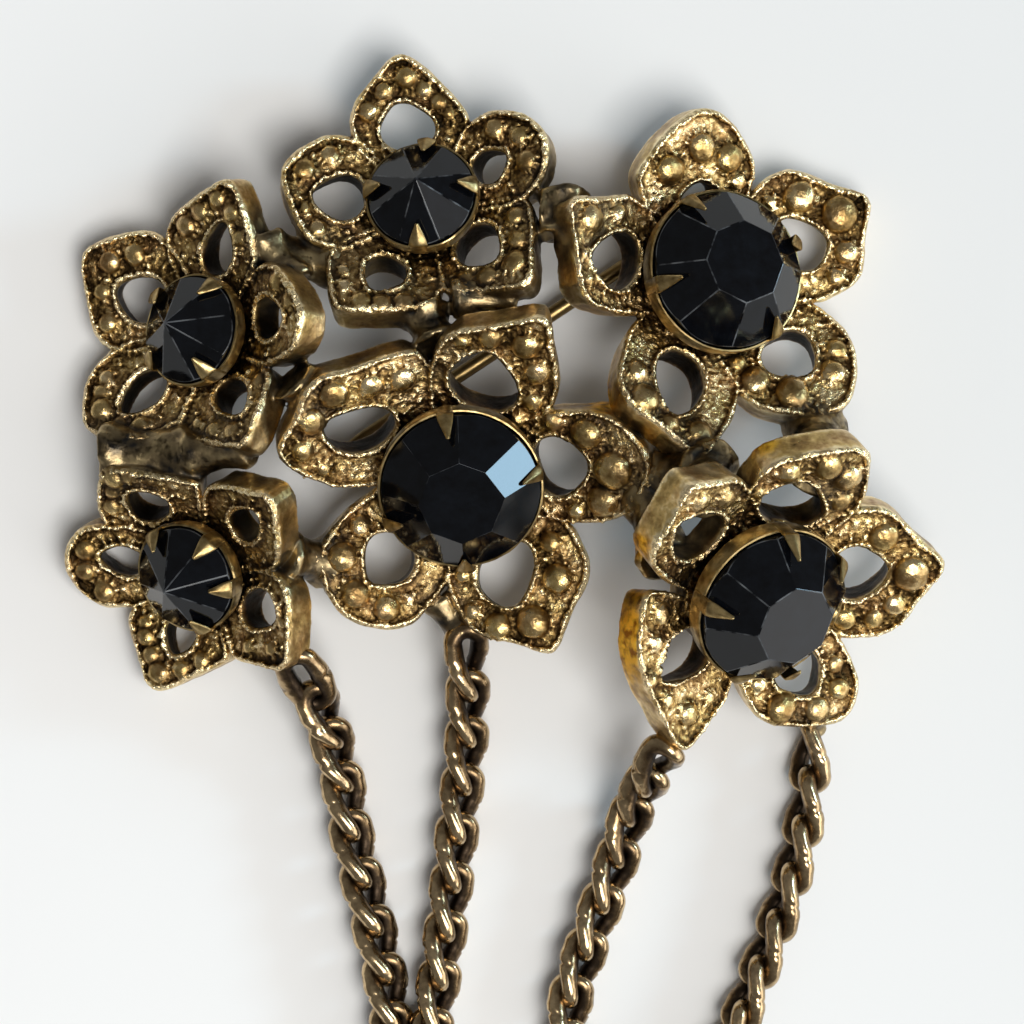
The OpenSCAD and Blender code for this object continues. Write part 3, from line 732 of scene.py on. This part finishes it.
def flower(name, grain, dome):
    """One casting: petals, hub and solder, fused, then roughened as it came from the mould."""
    cast = cast_of(name)
    hub = begin(bpy.ops.mesh.primitive_cylinder_add, vertices=64, radius=cast["hub"], depth=cast["thick"],
                location=(0, 0, -cast["thick"] / 2))
    edit(hub)
    pick("FACE", lambda f: f.normal.z < -0.9)
    bpy.ops.mesh.inset(thickness=cast["hub"] * 0.35, depth=0)
    bpy.ops.transform.translate(value=(0, 0, HUB_DISH))
    done()
    parts = [put(hub, flower_place(name))]
    round_domes = []
    for petal, domes in zip(PETALS[name], DOMES[name]):
        place, grains, balls = petal_grains(name, petal, domes, cast)
        parts.append(put(petal_body(petal, cast), place))
        parts.append(put(strew(grain, grains), place))
        parts.append(put(strew(dome, balls), place))
        round_domes += [(place @ Vector(ball[:3]), ball[3]) for ball in balls]
    casting = join(parts + [bar(run) for run in runs_on(name)])
    finish_with(casting, "REMESH", mode="VOXEL", voxel_size=VOXEL, adaptivity=0.0)
    finish_with(casting, "SMOOTH", factor=0.5, iterations=1)
    points = vertex_data(casting.data)[0]
    run = soldered(points, name, 1.4, 0.5) * (1 - on_faces(points, name))
    weigh(casting, "run", run)
    finish_with(casting, "SMOOTH", factor=0.5, iterations=24, vertex_group="run")
    finish_with(casting, "DISPLACE", texture=LUMPS, strength=0.25, mid_level=0.5, vertex_group="run")
    points, normals, ends = vertex_data(casting.data)
    axis = np.array(flower_place(name).to_3x3() @ Vector((0, 0, 1)))
    face = np.clip((smoothed(normals @ axis[:, None], ends, 6)[:, 0] - 0.35) / 0.4, 0, 1)
    face *= 1 - run
    smooth_dome = on_domes(points, round_domes)
    weigh(casting, "face", face * (1 - smooth_dome * 0.75))
    finish_with(casting, "DISPLACE", texture=CRINKLE, strength=0.15, mid_level=0.5, vertex_group="face")
    finish_with(casting, "DISPLACE", texture=UNEVEN, strength=0.2, mid_level=0.5)
    mark_wear(casting)
    mark(casting, "front", face)
    mark(casting, "dome", smooth_dome)
    # Patina round the stone, and painted shade deep inside the windows.
    mark(casting, "patina_and_shade", patina_and_window_shade(points, name))
    # Painted orange reflections on the walls, kept off the petals' faces.
    mark(casting, "painted_reflection", np.clip(painted_orange_reflection(points) * 1.7, 0, 1) * (1 - face))
    mark(casting, "stain", soldered(points, name, 1.3, 1.6) * (1 - face * 0.6))
    share = cast["triangles"] / max(cast["triangles"], len(casting.data.polygons) * 2)
    finish_with(casting, "DECIMATE", ratio=share)
    casting.data.shade_smooth()
    return casting


# Materials

def material(name):
    made = bpy.data.materials.new(name)
    made.use_nodes = True
    return made, made.node_tree.nodes["Principled BSDF"]


def add(made, kind, inputs=None, **settings):
    """A node with its settings, its inputs given as numbers or as sockets of other nodes."""
    found = made.node_tree.nodes.new(kind)
    for key, value in settings.items():
        setattr(found, key, value)
    for key, value in (inputs or {}).items():
        if isinstance(value, bpy.types.NodeSocket):
            made.node_tree.links.new(value, found.inputs[key])
        else:
            found.inputs[key].default_value = value
    return found


def join_sockets(made, source, target):
    made.node_tree.links.new(source, target)


def ramp(made, source, stops):
    found = add(made, "ShaderNodeValToRGB", {"Fac": source})
    elements = found.color_ramp.elements
    while len(elements) < len(stops):
        elements.new(0.5)
    for element, (position, colour) in zip(elements, stops):
        element.position = position
        element.color = (*colour, 1)
    return found.outputs["Color"]


def noise(made, size, detail=2.0, rough=0.5, stretch=(1, 1, 1)):
    """Noise whose spots are about size millimetres wide."""
    where = add(made, "ShaderNodeTexCoord").outputs["Object"]
    scaled = add(made, "ShaderNodeMapping", {"Vector": where, "Scale": stretch})
    return add(made, "ShaderNodeTexNoise", {
        "Vector": scaled.outputs["Vector"], "Scale": 1 / (size * MM), "Detail": detail, "Roughness": rough,
    }).outputs["Fac"]


def cells(made, size):
    """Crumpled cells about size millimetres wide."""
    where = add(made, "ShaderNodeTexCoord").outputs["Object"]
    return add(made, "ShaderNodeTexVoronoi", {"Vector": where, "Scale": 1 / (size * MM)}).outputs["Distance"]


def blend(made, share, one, two):
    """A mix of two colours, each a socket or a plain colour."""
    return add(made, "ShaderNodeMix", {0: share, 6: one, 7: two}, data_type="RGBA").outputs[2]


def plus(made, a, b, factor=1.0):
    """a + b * factor, where a and b are sockets or numbers."""
    return add(made, "ShaderNodeMath", {0: b, 1: factor, 2: a}, operation="MULTIPLY_ADD").outputs[0]


def spread(made, value, low, high, to_low, to_high):
    return add(made, "ShaderNodeMapRange", {
        "Value": value, "From Min": low, "From Max": high, "To Min": to_low, "To Max": to_high,
    }).outputs["Result"]


def antique_gold(name, lift):
    """Worn gilding over brown-black patina, with painted shade deep in the windows and painted orange
    reflections on a few walls. A higher lift leaves more of the gilding.
    """
    made, shader = material(name)
    wear, relief, patina_and_shade, face, dome, painted_reflection, stain = (
        add(made, "ShaderNodeAttribute", attribute_name=kind).outputs["Fac"]
        for kind in ("wear", "relief", "patina_and_shade", "front", "dome", "painted_reflection", "stain"))
    shown = plus(made, lift, wear, 0.8)
    shown = plus(made, shown, relief, 0.15)
    shown = plus(made, shown, noise(made, 0.25, 3), 0.3)
    shown = plus(made, shown, noise(made, 2.2, 3), 0.9)
    # Darker with patina round the stone and with painted shade inside the windows.
    shown = plus(made, shown, patina_and_shade, -0.5)
    shown = plus(made, shown, dome, -0.3)
    shown = plus(made, shown, face, 0.12)
    yellow = ramp(made, shown, [
        (0.0, (0.012, 0.008, 0.004)), (0.27, (0.07, 0.04, 0.013)), (0.5, (0.30, 0.19, 0.065)),
        (0.7, (0.62, 0.44, 0.17)), (0.92, (0.97, 0.80, 0.47))])
    brown = ramp(made, shown, [
        (0.0, (0.014, 0.008, 0.004)), (0.25, (0.085, 0.043, 0.017)), (0.5, (0.35, 0.20, 0.078)),
        (0.88, (0.92, 0.69, 0.40))])
    tint = spread(made, noise(made, 1.8, 3), 0.4, 0.7, 0.0, 0.8)
    colour = blend(made, tint, yellow, brown)
    grey = ramp(made, plus(made, noise(made, 1.5, 3), wear, 0.25), [
        (0.45, (0.04, 0.037, 0.033)), (0.6, (0.17, 0.125, 0.068)), (0.82, (0.46, 0.35, 0.18))])
    colour = blend(made, stain, colour, grey)
    # Painted reflection: an orange tint where walls face another petal's gilding.
    reflected_amber = ramp(made, noise(made, 0.6, 3), [(0.36, (0.3, 0.11, 0.006)), (0.58, (1.0, 0.56, 0.05))])
    colour = blend(made, painted_reflection, colour, reflected_amber)
    join_sockets(made, colour, shader.inputs["Base Color"])
    shader.inputs["Metallic"].default_value = 1.0
    rough = plus(made, spread(made, shown, 0.1, 0.8, 0.44, 0.24), noise(made, 0.6, 2), 0.1)
    join_sockets(made, plus(made, rough, face, -0.06), shader.inputs["Roughness"])
    foil = plus(made, noise(made, 0.12, 3), cells(made, 0.4), 1.2)
    rough_part = spread(made, plus(made, face, dome, -0.8), 0.0, 1.0, 0.2, 1.0)
    foil = add(made, "ShaderNodeMath", {0: foil, 1: rough_part}, operation="MULTIPLY").outputs[0]
    pits = add(made, "ShaderNodeBump", {"Height": foil, "Strength": 0.8, "Distance": 0.00009})
    join_sockets(made, pits.outputs["Normal"], shader.inputs["Normal"])
    return made


def metal(name, stops, rough, grain_size, worn=0.0):
    """Plain metal, clouded and finely pitted, and where it is marked as worn, brighter outside and darker in
    the crevices: partly wear, partly painted shade.
    """
    made, shader = material(name)
    shown = plus(made, -0.15, noise(made, grain_size, 3), 0.6)
    shown = plus(made, shown, noise(made, grain_size * 8, 3), 0.6)
    if worn:
        # Partly wear, partly painted shade: the marked outsides of the links brighter, their insides darker.
        rubbed = add(made, "ShaderNodeAttribute", attribute_name="worn").outputs["Fac"]
        shown = plus(made, plus(made, shown, -worn / 2), rubbed, worn)
    join_sockets(made, ramp(made, shown, stops), shader.inputs["Base Color"])
    shader.inputs["Metallic"].default_value = 1.0
    join_sockets(made, spread(made, shown, 0.2, 0.8, rough[0], rough[1]), shader.inputs["Roughness"])
    pits = add(made, "ShaderNodeBump", {
        "Height": noise(made, grain_size / 2, 3), "Strength": 0.4, "Distance": 0.00003})
    join_sockets(made, pits.outputs["Normal"], shader.inputs["Normal"])
    return made


def black_glass():
    """Old black glass, hazy in places, with paler rubbed edges and faint scratches."""
    made, shader = material("black_glass")
    haze = noise(made, 1.2, 4, 0.7)
    colour = ramp(made, haze, [(0.3, (0.0012, 0.0012, 0.0016)), (0.8, (0.004, 0.005, 0.007))])
    edge = add(made, "ShaderNodeAttribute", attribute_name="edge").outputs["Fac"]
    worn = plus(made, edge, spread(made, noise(made, 1.2, 3), 0.42, 0.65, -1.0, 0.0))
    worn = spread(made, worn, 0.0, 1.0, 0.0, 1.0)
    colour = blend(made, worn, colour, (0.09, 0.095, 0.10, 1))
    join_sockets(made, colour, shader.inputs["Base Color"])
    rough = plus(made, spread(made, haze, 0.35, 0.75, 0.02, 0.09), worn, 0.3)
    join_sockets(made, rough, shader.inputs["Roughness"])
    shader.inputs["IOR"].default_value = 1.56
    shader.inputs["Specular IOR Level"].default_value = 0.2
    scratches = add(made, "ShaderNodeBump", {
        "Height": noise(made, 0.5, 4, 0.6, (1, 6, 1)), "Strength": 0.06, "Distance": 0.00002})
    join_sockets(made, scratches.outputs["Normal"], shader.inputs["Normal"])
    return made


# Stones

def crown_slope(s):
    """How far the crown's facets start from the middle of the stone's top, and how steep they are."""
    apothem = s["table"] * math.cos(math.pi / 8)
    return apothem, math.atan2(s["crown"] - 0.25, s["radius"] - apothem)


# A face of a stone narrower than about this belongs to a worn edge.
EDGE_FACE = 0.04


def stone(name):
    """A round blank with flat facets cut above and below its girdle, and lightly worn edges."""
    s = STONE[FLOWERS[name].size]
    top, low = s["girdle"] + s["crown"], s["girdle"] - s["under"]
    apothem, slope = crown_slope(s)
    under = math.atan2(s["under"] - 0.25, s["radius"] * 0.45)
    gem = begin(bpy.ops.mesh.primitive_cylinder_add, vertices=96, radius=s["radius"], depth=top - low,
                location=(0, 0, (top + low) / 2))
    edit(gem)
    for k in range(8):
        off, steeper = OFF_TRUE.get(name, {}).get(k, (0, 0))
        round_to = math.radians((k + 0.5) * 45 + off)
        side = Vector((math.cos(round_to), math.sin(round_to), 0))
        crown = slope + math.radians(steeper)
        for height, reach, angle, up in ((top, apothem, crown, 1), (low, s["radius"] * 0.55, under, -1)):
            pick_all()
            bpy.ops.mesh.bisect(
                plane_co=side * reach + Vector((0, 0, height)),
                plane_no=side * math.sin(angle) + Vector((0, 0, up * math.cos(angle))),
                use_fill=True, clear_outer=True)
    pick_all()
    bpy.ops.mesh.remove_doubles(threshold=0.002)
    done()
    put(gem, flower_place(name) @ turn("Z", FLOWERS[name].turned))
    soften(gem, 0.05, 2, 14)
    around = [sum((gem.data.vertices[a].co - gem.data.vertices[b].co).length for a, b in f.edge_keys)
              for f in gem.data.polygons]
    edges = np.array([f.area / length < EDGE_FACE for f, length in zip(gem.data.polygons, around)])
    gem.data.attributes.new("edge", "FLOAT", "FACE").data.foreach_set("value", edges.astype(np.float32))
    gem.data.shade_flat()
    return gem


# Cups

def turned(profile, steps=72):
    """A closed ring turned from a profile of radius and height."""
    first, last = Vector(profile[0]), Vector(profile[-1])
    piece = begin(bpy.ops.mesh.primitive_circle_add, vertices=steps, radius=first.x, location=(0, 0, first.y))
    edit(piece)
    pick_all()
    for (r0, z0), (r1, z1) in zip(profile, profile[1:]):
        bpy.ops.mesh.extrude_edges_move(TRANSFORM_OT_translate={"value": (0, 0, z1 - z0)})
        bpy.ops.transform.resize(value=(r1 / r0, r1 / r0, 1), center_override=(0, 0, z1))

    def at_an_end(v):
        spot = Vector((v.co.xy.length, v.co.z))
        return min((spot - first).length, (spot - last).length) < 0.001

    pick("VERT", at_an_end)
    bpy.ops.mesh.bridge_edge_loops()
    face_outward()
    done()
    return piece


CLAW_THICK = 0.2


def claw(s, degrees):
    """A pointed strap with a raised middle, bent over the girdle and pressed on the crown."""
    apothem, slope = crown_slope(s)
    inside = s["radius"] + 0.07
    corner = s["girdle"] + 0.25 + s["radius"] * (1 - math.cos(math.pi / 8)) * math.tan(slope)
    knee = corner + 0.1
    lift = CLAW_THICK * 0.5
    down = Vector((-math.cos(slope), math.sin(slope)))
    out = Vector((math.sin(slope), math.cos(slope)))
    bend = Vector((inside, knee)) + out * lift
    path = [Vector((inside + lift, height)) for height in (
        s["girdle"] * 0.5, s["girdle"] + 0.1, (s["girdle"] + knee) / 2 + 0.1)]
    path += [Vector((inside + lift * 0.9, knee - 0.02)), bend]
    path += [bend + down * s["claw_tip"] * t for t in (0.2, 0.45, 0.7, 0.88, 1.0)]
    half = s["claw_width"] / 2
    widths = [half * share for share in (1.0, 1.05, 1.1, 1.15, 1.1, 1.0, 0.75, 0.45, 0.2)] + [0.04]
    strap = begin(bpy.ops.mesh.primitive_grid_add, x_subdivisions=len(path) - 1, y_subdivisions=4, size=1)
    edit(strap)
    mesh = bmesh.from_edit_mesh(strap.data)
    for v in mesh.verts:
        i = round((v.co.x + 0.5) * (len(path) - 1))
        across = v.co.y * 2
        fold = out * (0.2 * (1 - abs(across)) * (1 if i > 2 else 0.4))
        v.co = (path[i].x + fold.x, across * widths[i], path[i].y + fold.y)
    bmesh.update_edit_mesh(strap.data)
    done()
    finish_with(strap, "SOLIDIFY", thickness=CLAW_THICK, offset=0)
    finish_with(strap, "SUBSURF", levels=2, render_levels=2)
    return put(strap, turn("Z", degrees))


def cup(name):
    """A pressed pan with a thin rim, its claws, and the rivet that holds it in the hub."""
    s = STONE[FLOWERS[name].size]
    inside, foot = s["radius"] + 0.07, s["radius"] * 0.62
    rim, wall = s["girdle"] + 0.12, 0.2
    pan = turned([
        (0.02, 0.05), (foot, 0.05), (inside + wall - 0.1, s["girdle"] * 0.5), (inside + wall, rim - 0.15),
        (inside + wall - 0.06, rim - 0.02), (inside + 0.04, rim), (inside, rim - 0.06),
        (inside, s["girdle"] * 0.6), (foot - 0.1, 0.4), (0.02, 0.4)])
    finish_with(pan, "DISPLACE", texture=clouds("dents", 1.0, 3), strength=0.12, mid_level=0.5)
    shaft = s["rivet"]
    back = -cast_of(name)["thick"] - 0.1
    rivet = turned([
        (0.02, 0.1), (shaft, 0.1), (shaft, back), (shaft + 0.5, back), (shaft + 0.42, back - 0.26),
        (shaft, back - 0.4), (0.02, back - 0.4)], 32)
    piece = join([pan, rivet] + [claw(s, degrees) for degrees in CLAWS[name]])
    shade_below(piece, 50)
    return put(piece, flower_place(name))


# Pin hinge and catch. Their frame has X along the closed pin, from its rivet to its point.

PIN_PLACE = Matrix.Translation(Vector((10.7, 22.0, 1.5)) + SHIFT) @ turn("Z", 213.4)
# Where the catch's strip begins along the pin, and how wide it is
CATCH_AT, CATCH_WIDE = 26.6, 1.2


def hinge():
    """Two ears with a riveted pin through them."""
    parts = []
    for side in (-1, 1):
        ear = begin(bpy.ops.mesh.primitive_cylinder_add, vertices=40, radius=1.5, depth=0.6,
                    rotation=(math.pi / 2, 0, 0), location=(0, side * 0.95, 0))
        edit(ear)
        pick("VERT", lambda v: v.co.z > 0.01)
        bpy.ops.transform.resize(value=(1.1, 1, 0.2), center_override=(0, 0, 0))
        bpy.ops.transform.translate(value=(0, 0, 2.3))
        done()
        soften(ear, 0.1, 2, 40)
        parts.append(ear)
    rivet = begin(bpy.ops.mesh.primitive_cylinder_add, vertices=28, radius=0.5, depth=2.5,
                  rotation=(math.pi / 2, 0, 0))
    soften(rivet, 0.14, 3, 40)
    piece = join(parts + [rivet])
    shade_below(piece, 35)
    return put(piece, PIN_PLACE)


def catch():
    """A strip rolled into a hook, on a post that reaches up into the flower."""
    hook = begin(bpy.ops.mesh.primitive_circle_add, vertices=40, radius=0.66,
                 rotation=(0, math.pi / 2, 0), location=(CATCH_AT, 0, 0))
    edit(hook)
    pick("VERT", lambda v: v.co.z < -0.3)
    bpy.ops.mesh.delete(type="VERT")
    pick_all()
    bpy.ops.mesh.extrude_edges_move(TRANSFORM_OT_translate={"value": (0, 0, 0)})
    bpy.ops.transform.resize(value=(1, 1.65, 1.65), center_override=(CATCH_AT, 0, 0))
    pick_all()
    bpy.ops.mesh.extrude_region_move(TRANSFORM_OT_translate={"value": (CATCH_WIDE, 0, 0)})
    face_outward()
    done()
    middle = CATCH_AT + CATCH_WIDE / 2
    post = begin(bpy.ops.mesh.primitive_cube_add, size=1, location=(middle, 0, 3.4),
                 scale=(CATCH_WIDE, 1.9, 5.0))
    edit(post)
    pick("VERT", lambda v: v.co.z < 2)
    bpy.ops.transform.resize(value=(1, 0.8, 1), center_override=(middle, 0, 0.9))
    done()
    piece = join([hook, post])
    soften(piece, 0.1, 2, 40)
    shade_below(piece, 35)
    return put(piece, PIN_PLACE)


# Chains

# From link to link, the radius of the wire, the radius of a link's round ends, and its straight part
PITCH, WIRE, BEND = 3.25, 0.62, 0.93
STRAIGHT = PITCH + 2 * WIRE - 2 * BEND
TWIST = -130
# How far the links of each strand are rolled about the strand
ROLL = {"left": -50, "middle": 50, "right_inner": -42, "right_outer": -68}


def link_pattern(twist):
    """A round wire bent to an oval, its ends turned against each other by a twist in degrees."""
    link = begin(bpy.ops.mesh.primitive_torus_add, major_segments=44, minor_segments=14,
                 major_radius=BEND, minor_radius=WIRE)
    edit(link)
    for side in (-1, 1):
        pick("VERT", lambda v, s=side: v.co.x * s > 0.001)
        bpy.ops.transform.translate(value=(side * STRAIGHT / 2, 0, 0))
    for cut in (-0.6, -0.2, 0.2, 0.6):
        pick_all()
        bpy.ops.mesh.bisect(plane_co=(cut, 0, 0), plane_no=(1, 0, 0))
    # The long sides bulge a little.
    for x in (0.2, 0.6, STRAIGHT / 2):
        bulge = 1 + 0.14 * (1 - (x / (STRAIGHT / 2 + 0.3)) ** 2)
        pick("VERT", lambda v, at=x: abs(abs(v.co.x) - at) < 0.01)
        bpy.ops.transform.resize(value=(1, bulge, 1), center_override=(0, 0, 0))
    done()
    points = vertex_data(link.data)[0]
    beyond = np.maximum(np.abs(points[:, 0]) - STRAIGHT / 2, 0)
    # Worn mark: 1 on the outside of the wire, 0 on the inside where the links cross. Partly wear, partly
    # painted shade in the crevices.
    mark(link, "worn", np.clip(0.5 + 0.55 * (np.hypot(beyond, points[:, 1]) - BEND) / WIRE, 0, 1))
    if twist:
        finish_with(link, "SIMPLE_DEFORM", deform_method="TWIST", deform_axis="X", angle=math.radians(twist))
    link.data.shade_smooth()
    return link


def link_place(one, two, roll):
    """The place of a link between two meeting places, rolled about the line between them."""
    along = two - one
    return (Matrix.Translation((one + two) / 2)
            @ turn("Z", math.degrees(math.atan2(along.y, along.x)))
            @ turn("Y", math.degrees(math.asin(-along.z / along.length))) @ turn("X", roll))


def ends_of(node, toward):
    """The two meeting places of a CAD link, in millimetres, in the order of a direction."""
    points = vertex_data(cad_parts[node].data)[0] / MM
    lo, hi = points.min(axis=0), points.max(axis=0)
    centre = (lo + hi) / 2
    _, axes = np.linalg.eigh(np.cov((points - centre).T))
    along = Vector(axes[:, 2])
    along = along if along.dot(toward) > 0 else -along
    return Vector(centre) - along * PITCH / 2, Vector(centre) + along * PITCH / 2


def lay_link(pattern, one, two, roll, name, node_names, wire):
    """A link between two places, lifted where its wire would sink into the surface."""
    twin = copy_of(pattern, link_place(one, two, roll))
    lowest = min(v.co.z for v in twin.data.vertices)
    put(twin, Matrix.Translation((0, 0, max(0, 0.02 - lowest))))
    hand_in(twin, name, node_names, wire)


def chains(wire):
    """The links of both swags and the four loops that they hang from."""
    down = Vector((0, -1, 0))
    twisted, flat = link_pattern(TWIST), link_pattern(0)
    ends = {}
    for n in range(1, 18):
        node = f"left_link_{n:02d}"
        ends[node] = ends_of(node, Vector((1, 0, 0)) if n == 9 else down if n < 9 else -down)
        pattern, roll = (flat, 0) if n == 9 else (twisted, ROLL["left" if n < 9 else "middle"])
        lay_link(pattern, *ends[node], roll, "curb_" + node, [node], wire)
    for n in range(1, 17):
        node = f"right_link_{n:02d}"
        ends[node] = ends_of(node, down if n < 9 else -down)
        share = min(max((n - 6) / 5, 0), 1)
        roll = ROLL["right_inner"] * (1 - share) + ROLL["right_outer"] * share
        lay_link(twisted, *ends[node], roll, "curb_" + node, [node], wire)
    for name, start, end, pattern, roll in (
            ("left", (-13.5, -5.9, 6.2), ends["left_link_01"][0], flat, 10),
            ("middle", (-2.5, -4.4, 3.6), ends["left_link_17"][1], twisted, -50),
            ("right_inner", (10.3, -11.6, 7.2), ends["right_link_01"][0], twisted, -42),
            ("right_outer", (20.4, -10.0, 1.5), ends["right_link_16"][1], twisted, 68)):
        lay_link(pattern, Vector(start) + SHIFT, end, roll, "chain_loop_" + name, ["flower_frame"], wire)
    remove(twisted)
    remove(flat)


# The object

gold = antique_gold("antique_gold", -0.51)
brown_gold = antique_gold("brown_antique_gold", -0.58)
cup_brass = metal("cup_brass", [
    (0.0, (0.03, 0.02, 0.01)), (0.3, (0.16, 0.105, 0.04)), (0.55, (0.44, 0.32, 0.14)),
    (1.0, (0.72, 0.58, 0.32))], (0.42, 0.26), 0.5)
# The chain is brighter outside its bends and darker inside them: partly wear, partly painted shade.
chain_bronze = metal("chain_bronze", [
    (0.0, (0.016, 0.011, 0.008)), (0.34, (0.055, 0.037, 0.023)), (0.6, (0.20, 0.13, 0.065)),
    (1.0, (0.68, 0.5, 0.28))], (0.38, 0.2), 0.5, worn=0.8)
pin_brass = metal("pin_brass", [
    (0.0, (0.08, 0.05, 0.02)), (0.5, (0.26, 0.18, 0.075)), (1.0, (0.5, 0.37, 0.18))], (0.38, 0.28), 0.6)
glass = black_glass()

grain, dome = grain_pattern(), dome_pattern()
for which in FLOWERS:
    gilding = gold if FLOWERS[which].size == "large" else brown_gold
    hand_in(flower(which, grain, dome), "casting_" + which, ["flower_frame"], gilding)
    hand_in(stone(which), "gem_" + which, ["stone_" + which], glass)
    hand_in(cup(which), "cup_" + which, ["claw_cup_" + which], cup_brass)
remove(grain)
remove(dome)
hand_in(hinge(), "hinge_ears", ["flower_frame"], pin_brass)
hand_in(catch(), "catch", ["flower_frame"], pin_brass)
chains(chain_bronze)
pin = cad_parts["pin_stem"]
for slot in pin.material_slots:
    slot.material = pin_brass

# Floor, lights and camera

# The floor lies a hair under the brooch.
floor = begin(bpy.ops.mesh.primitive_plane_add, size=8, location=(0, 0, -0.00003))
floor.name = "floor"
paper, paper_shader = material("pale_paper")
where = add(paper, "ShaderNodeTexCoord").outputs["Object"]
# Painted shade: the paper is coloured a little darker at the right, where more light falls.
across = add(paper, "ShaderNodeSeparateXYZ", {"Vector": where}).outputs["X"]
paper_shade_and_tone = plus(paper, spread(paper, across, -0.035, 0.035, 0.45, 0.0), noise(paper, 90.0, 2), 0.5)
join_sockets(paper, ramp(paper, paper_shade_and_tone, [(0.2, (0.72, 0.715, 0.7)), (0.75, (0.885, 0.88, 0.865))]),
             paper_shader.inputs["Base Color"])
paper_shader.inputs["Roughness"].default_value = 0.9
paper_shader.inputs["Specular IOR Level"].default_value = 0.1
floor.data.materials.append(paper)

# The middle of the brooch, where the lamps point
CENTRE = Vector((0, 0, 0.008))


def lamp(name, place, width, height, watts, colour=(1, 1, 1)):
    """A soft lamp of a width and a height in metres."""
    data = bpy.data.lights.new(name, "AREA")
    data.shape = "RECTANGLE"
    data.size, data.size_y = width, height
    data.energy = watts
    data.color = colour
    item = bpy.data.objects.new(name, data)
    bpy.context.scene.collection.objects.link(item)
    item.location = place
    item.rotation_euler = (CENTRE - Vector(place)).to_track_quat("-Z", "Y").to_euler()


def place_on(azimuth, elevation, away):
    """A place round the brooch, from two angles in degrees and a distance in metres."""
    a, e = math.radians(azimuth), math.radians(elevation)
    return (away * math.cos(a) * math.cos(e), away * math.sin(a) * math.cos(e), away * math.sin(e))


lamp("softbox", place_on(-45, 68, 0.65), 0.32, 0.32, 3.3, (1.0, 0.995, 0.98))
lamp("window", place_on(-20, 16, 0.75), 0.8, 0.38, 2.4)
lamp("card", place_on(-25, 48, 0.5), 0.25, 0.25, 0.26)
# One facet of the middle stone mirrors this.
lamp("pane", place_on(14, 23.5, 0.36), 0.06, 0.06, 0.38, (0.5, 0.78, 1.0))

world = bpy.data.worlds.new("soft_room")
world.use_nodes = True
world.node_tree.nodes["Background"].inputs["Color"].default_value = (0.98, 0.99, 1.0, 1)
world.node_tree.nodes["Background"].inputs["Strength"].default_value = 0.2
bpy.context.scene.world = world
bpy.context.scene.view_settings.view_transform = "Standard"

camera_data = bpy.data.cameras.new("camera")
camera_data.sensor_width = 36
camera_data.lens = 18 / (HALF_PICTURE * PIXEL)
camera_data.clip_start, camera_data.clip_end = 0.01, 20
camera = bpy.data.objects.new("camera", camera_data)
bpy.context.scene.collection.objects.link(camera)
camera.location = EYE * MM
bpy.context.scene.camera = camera

bpy.context.view_layer.update()
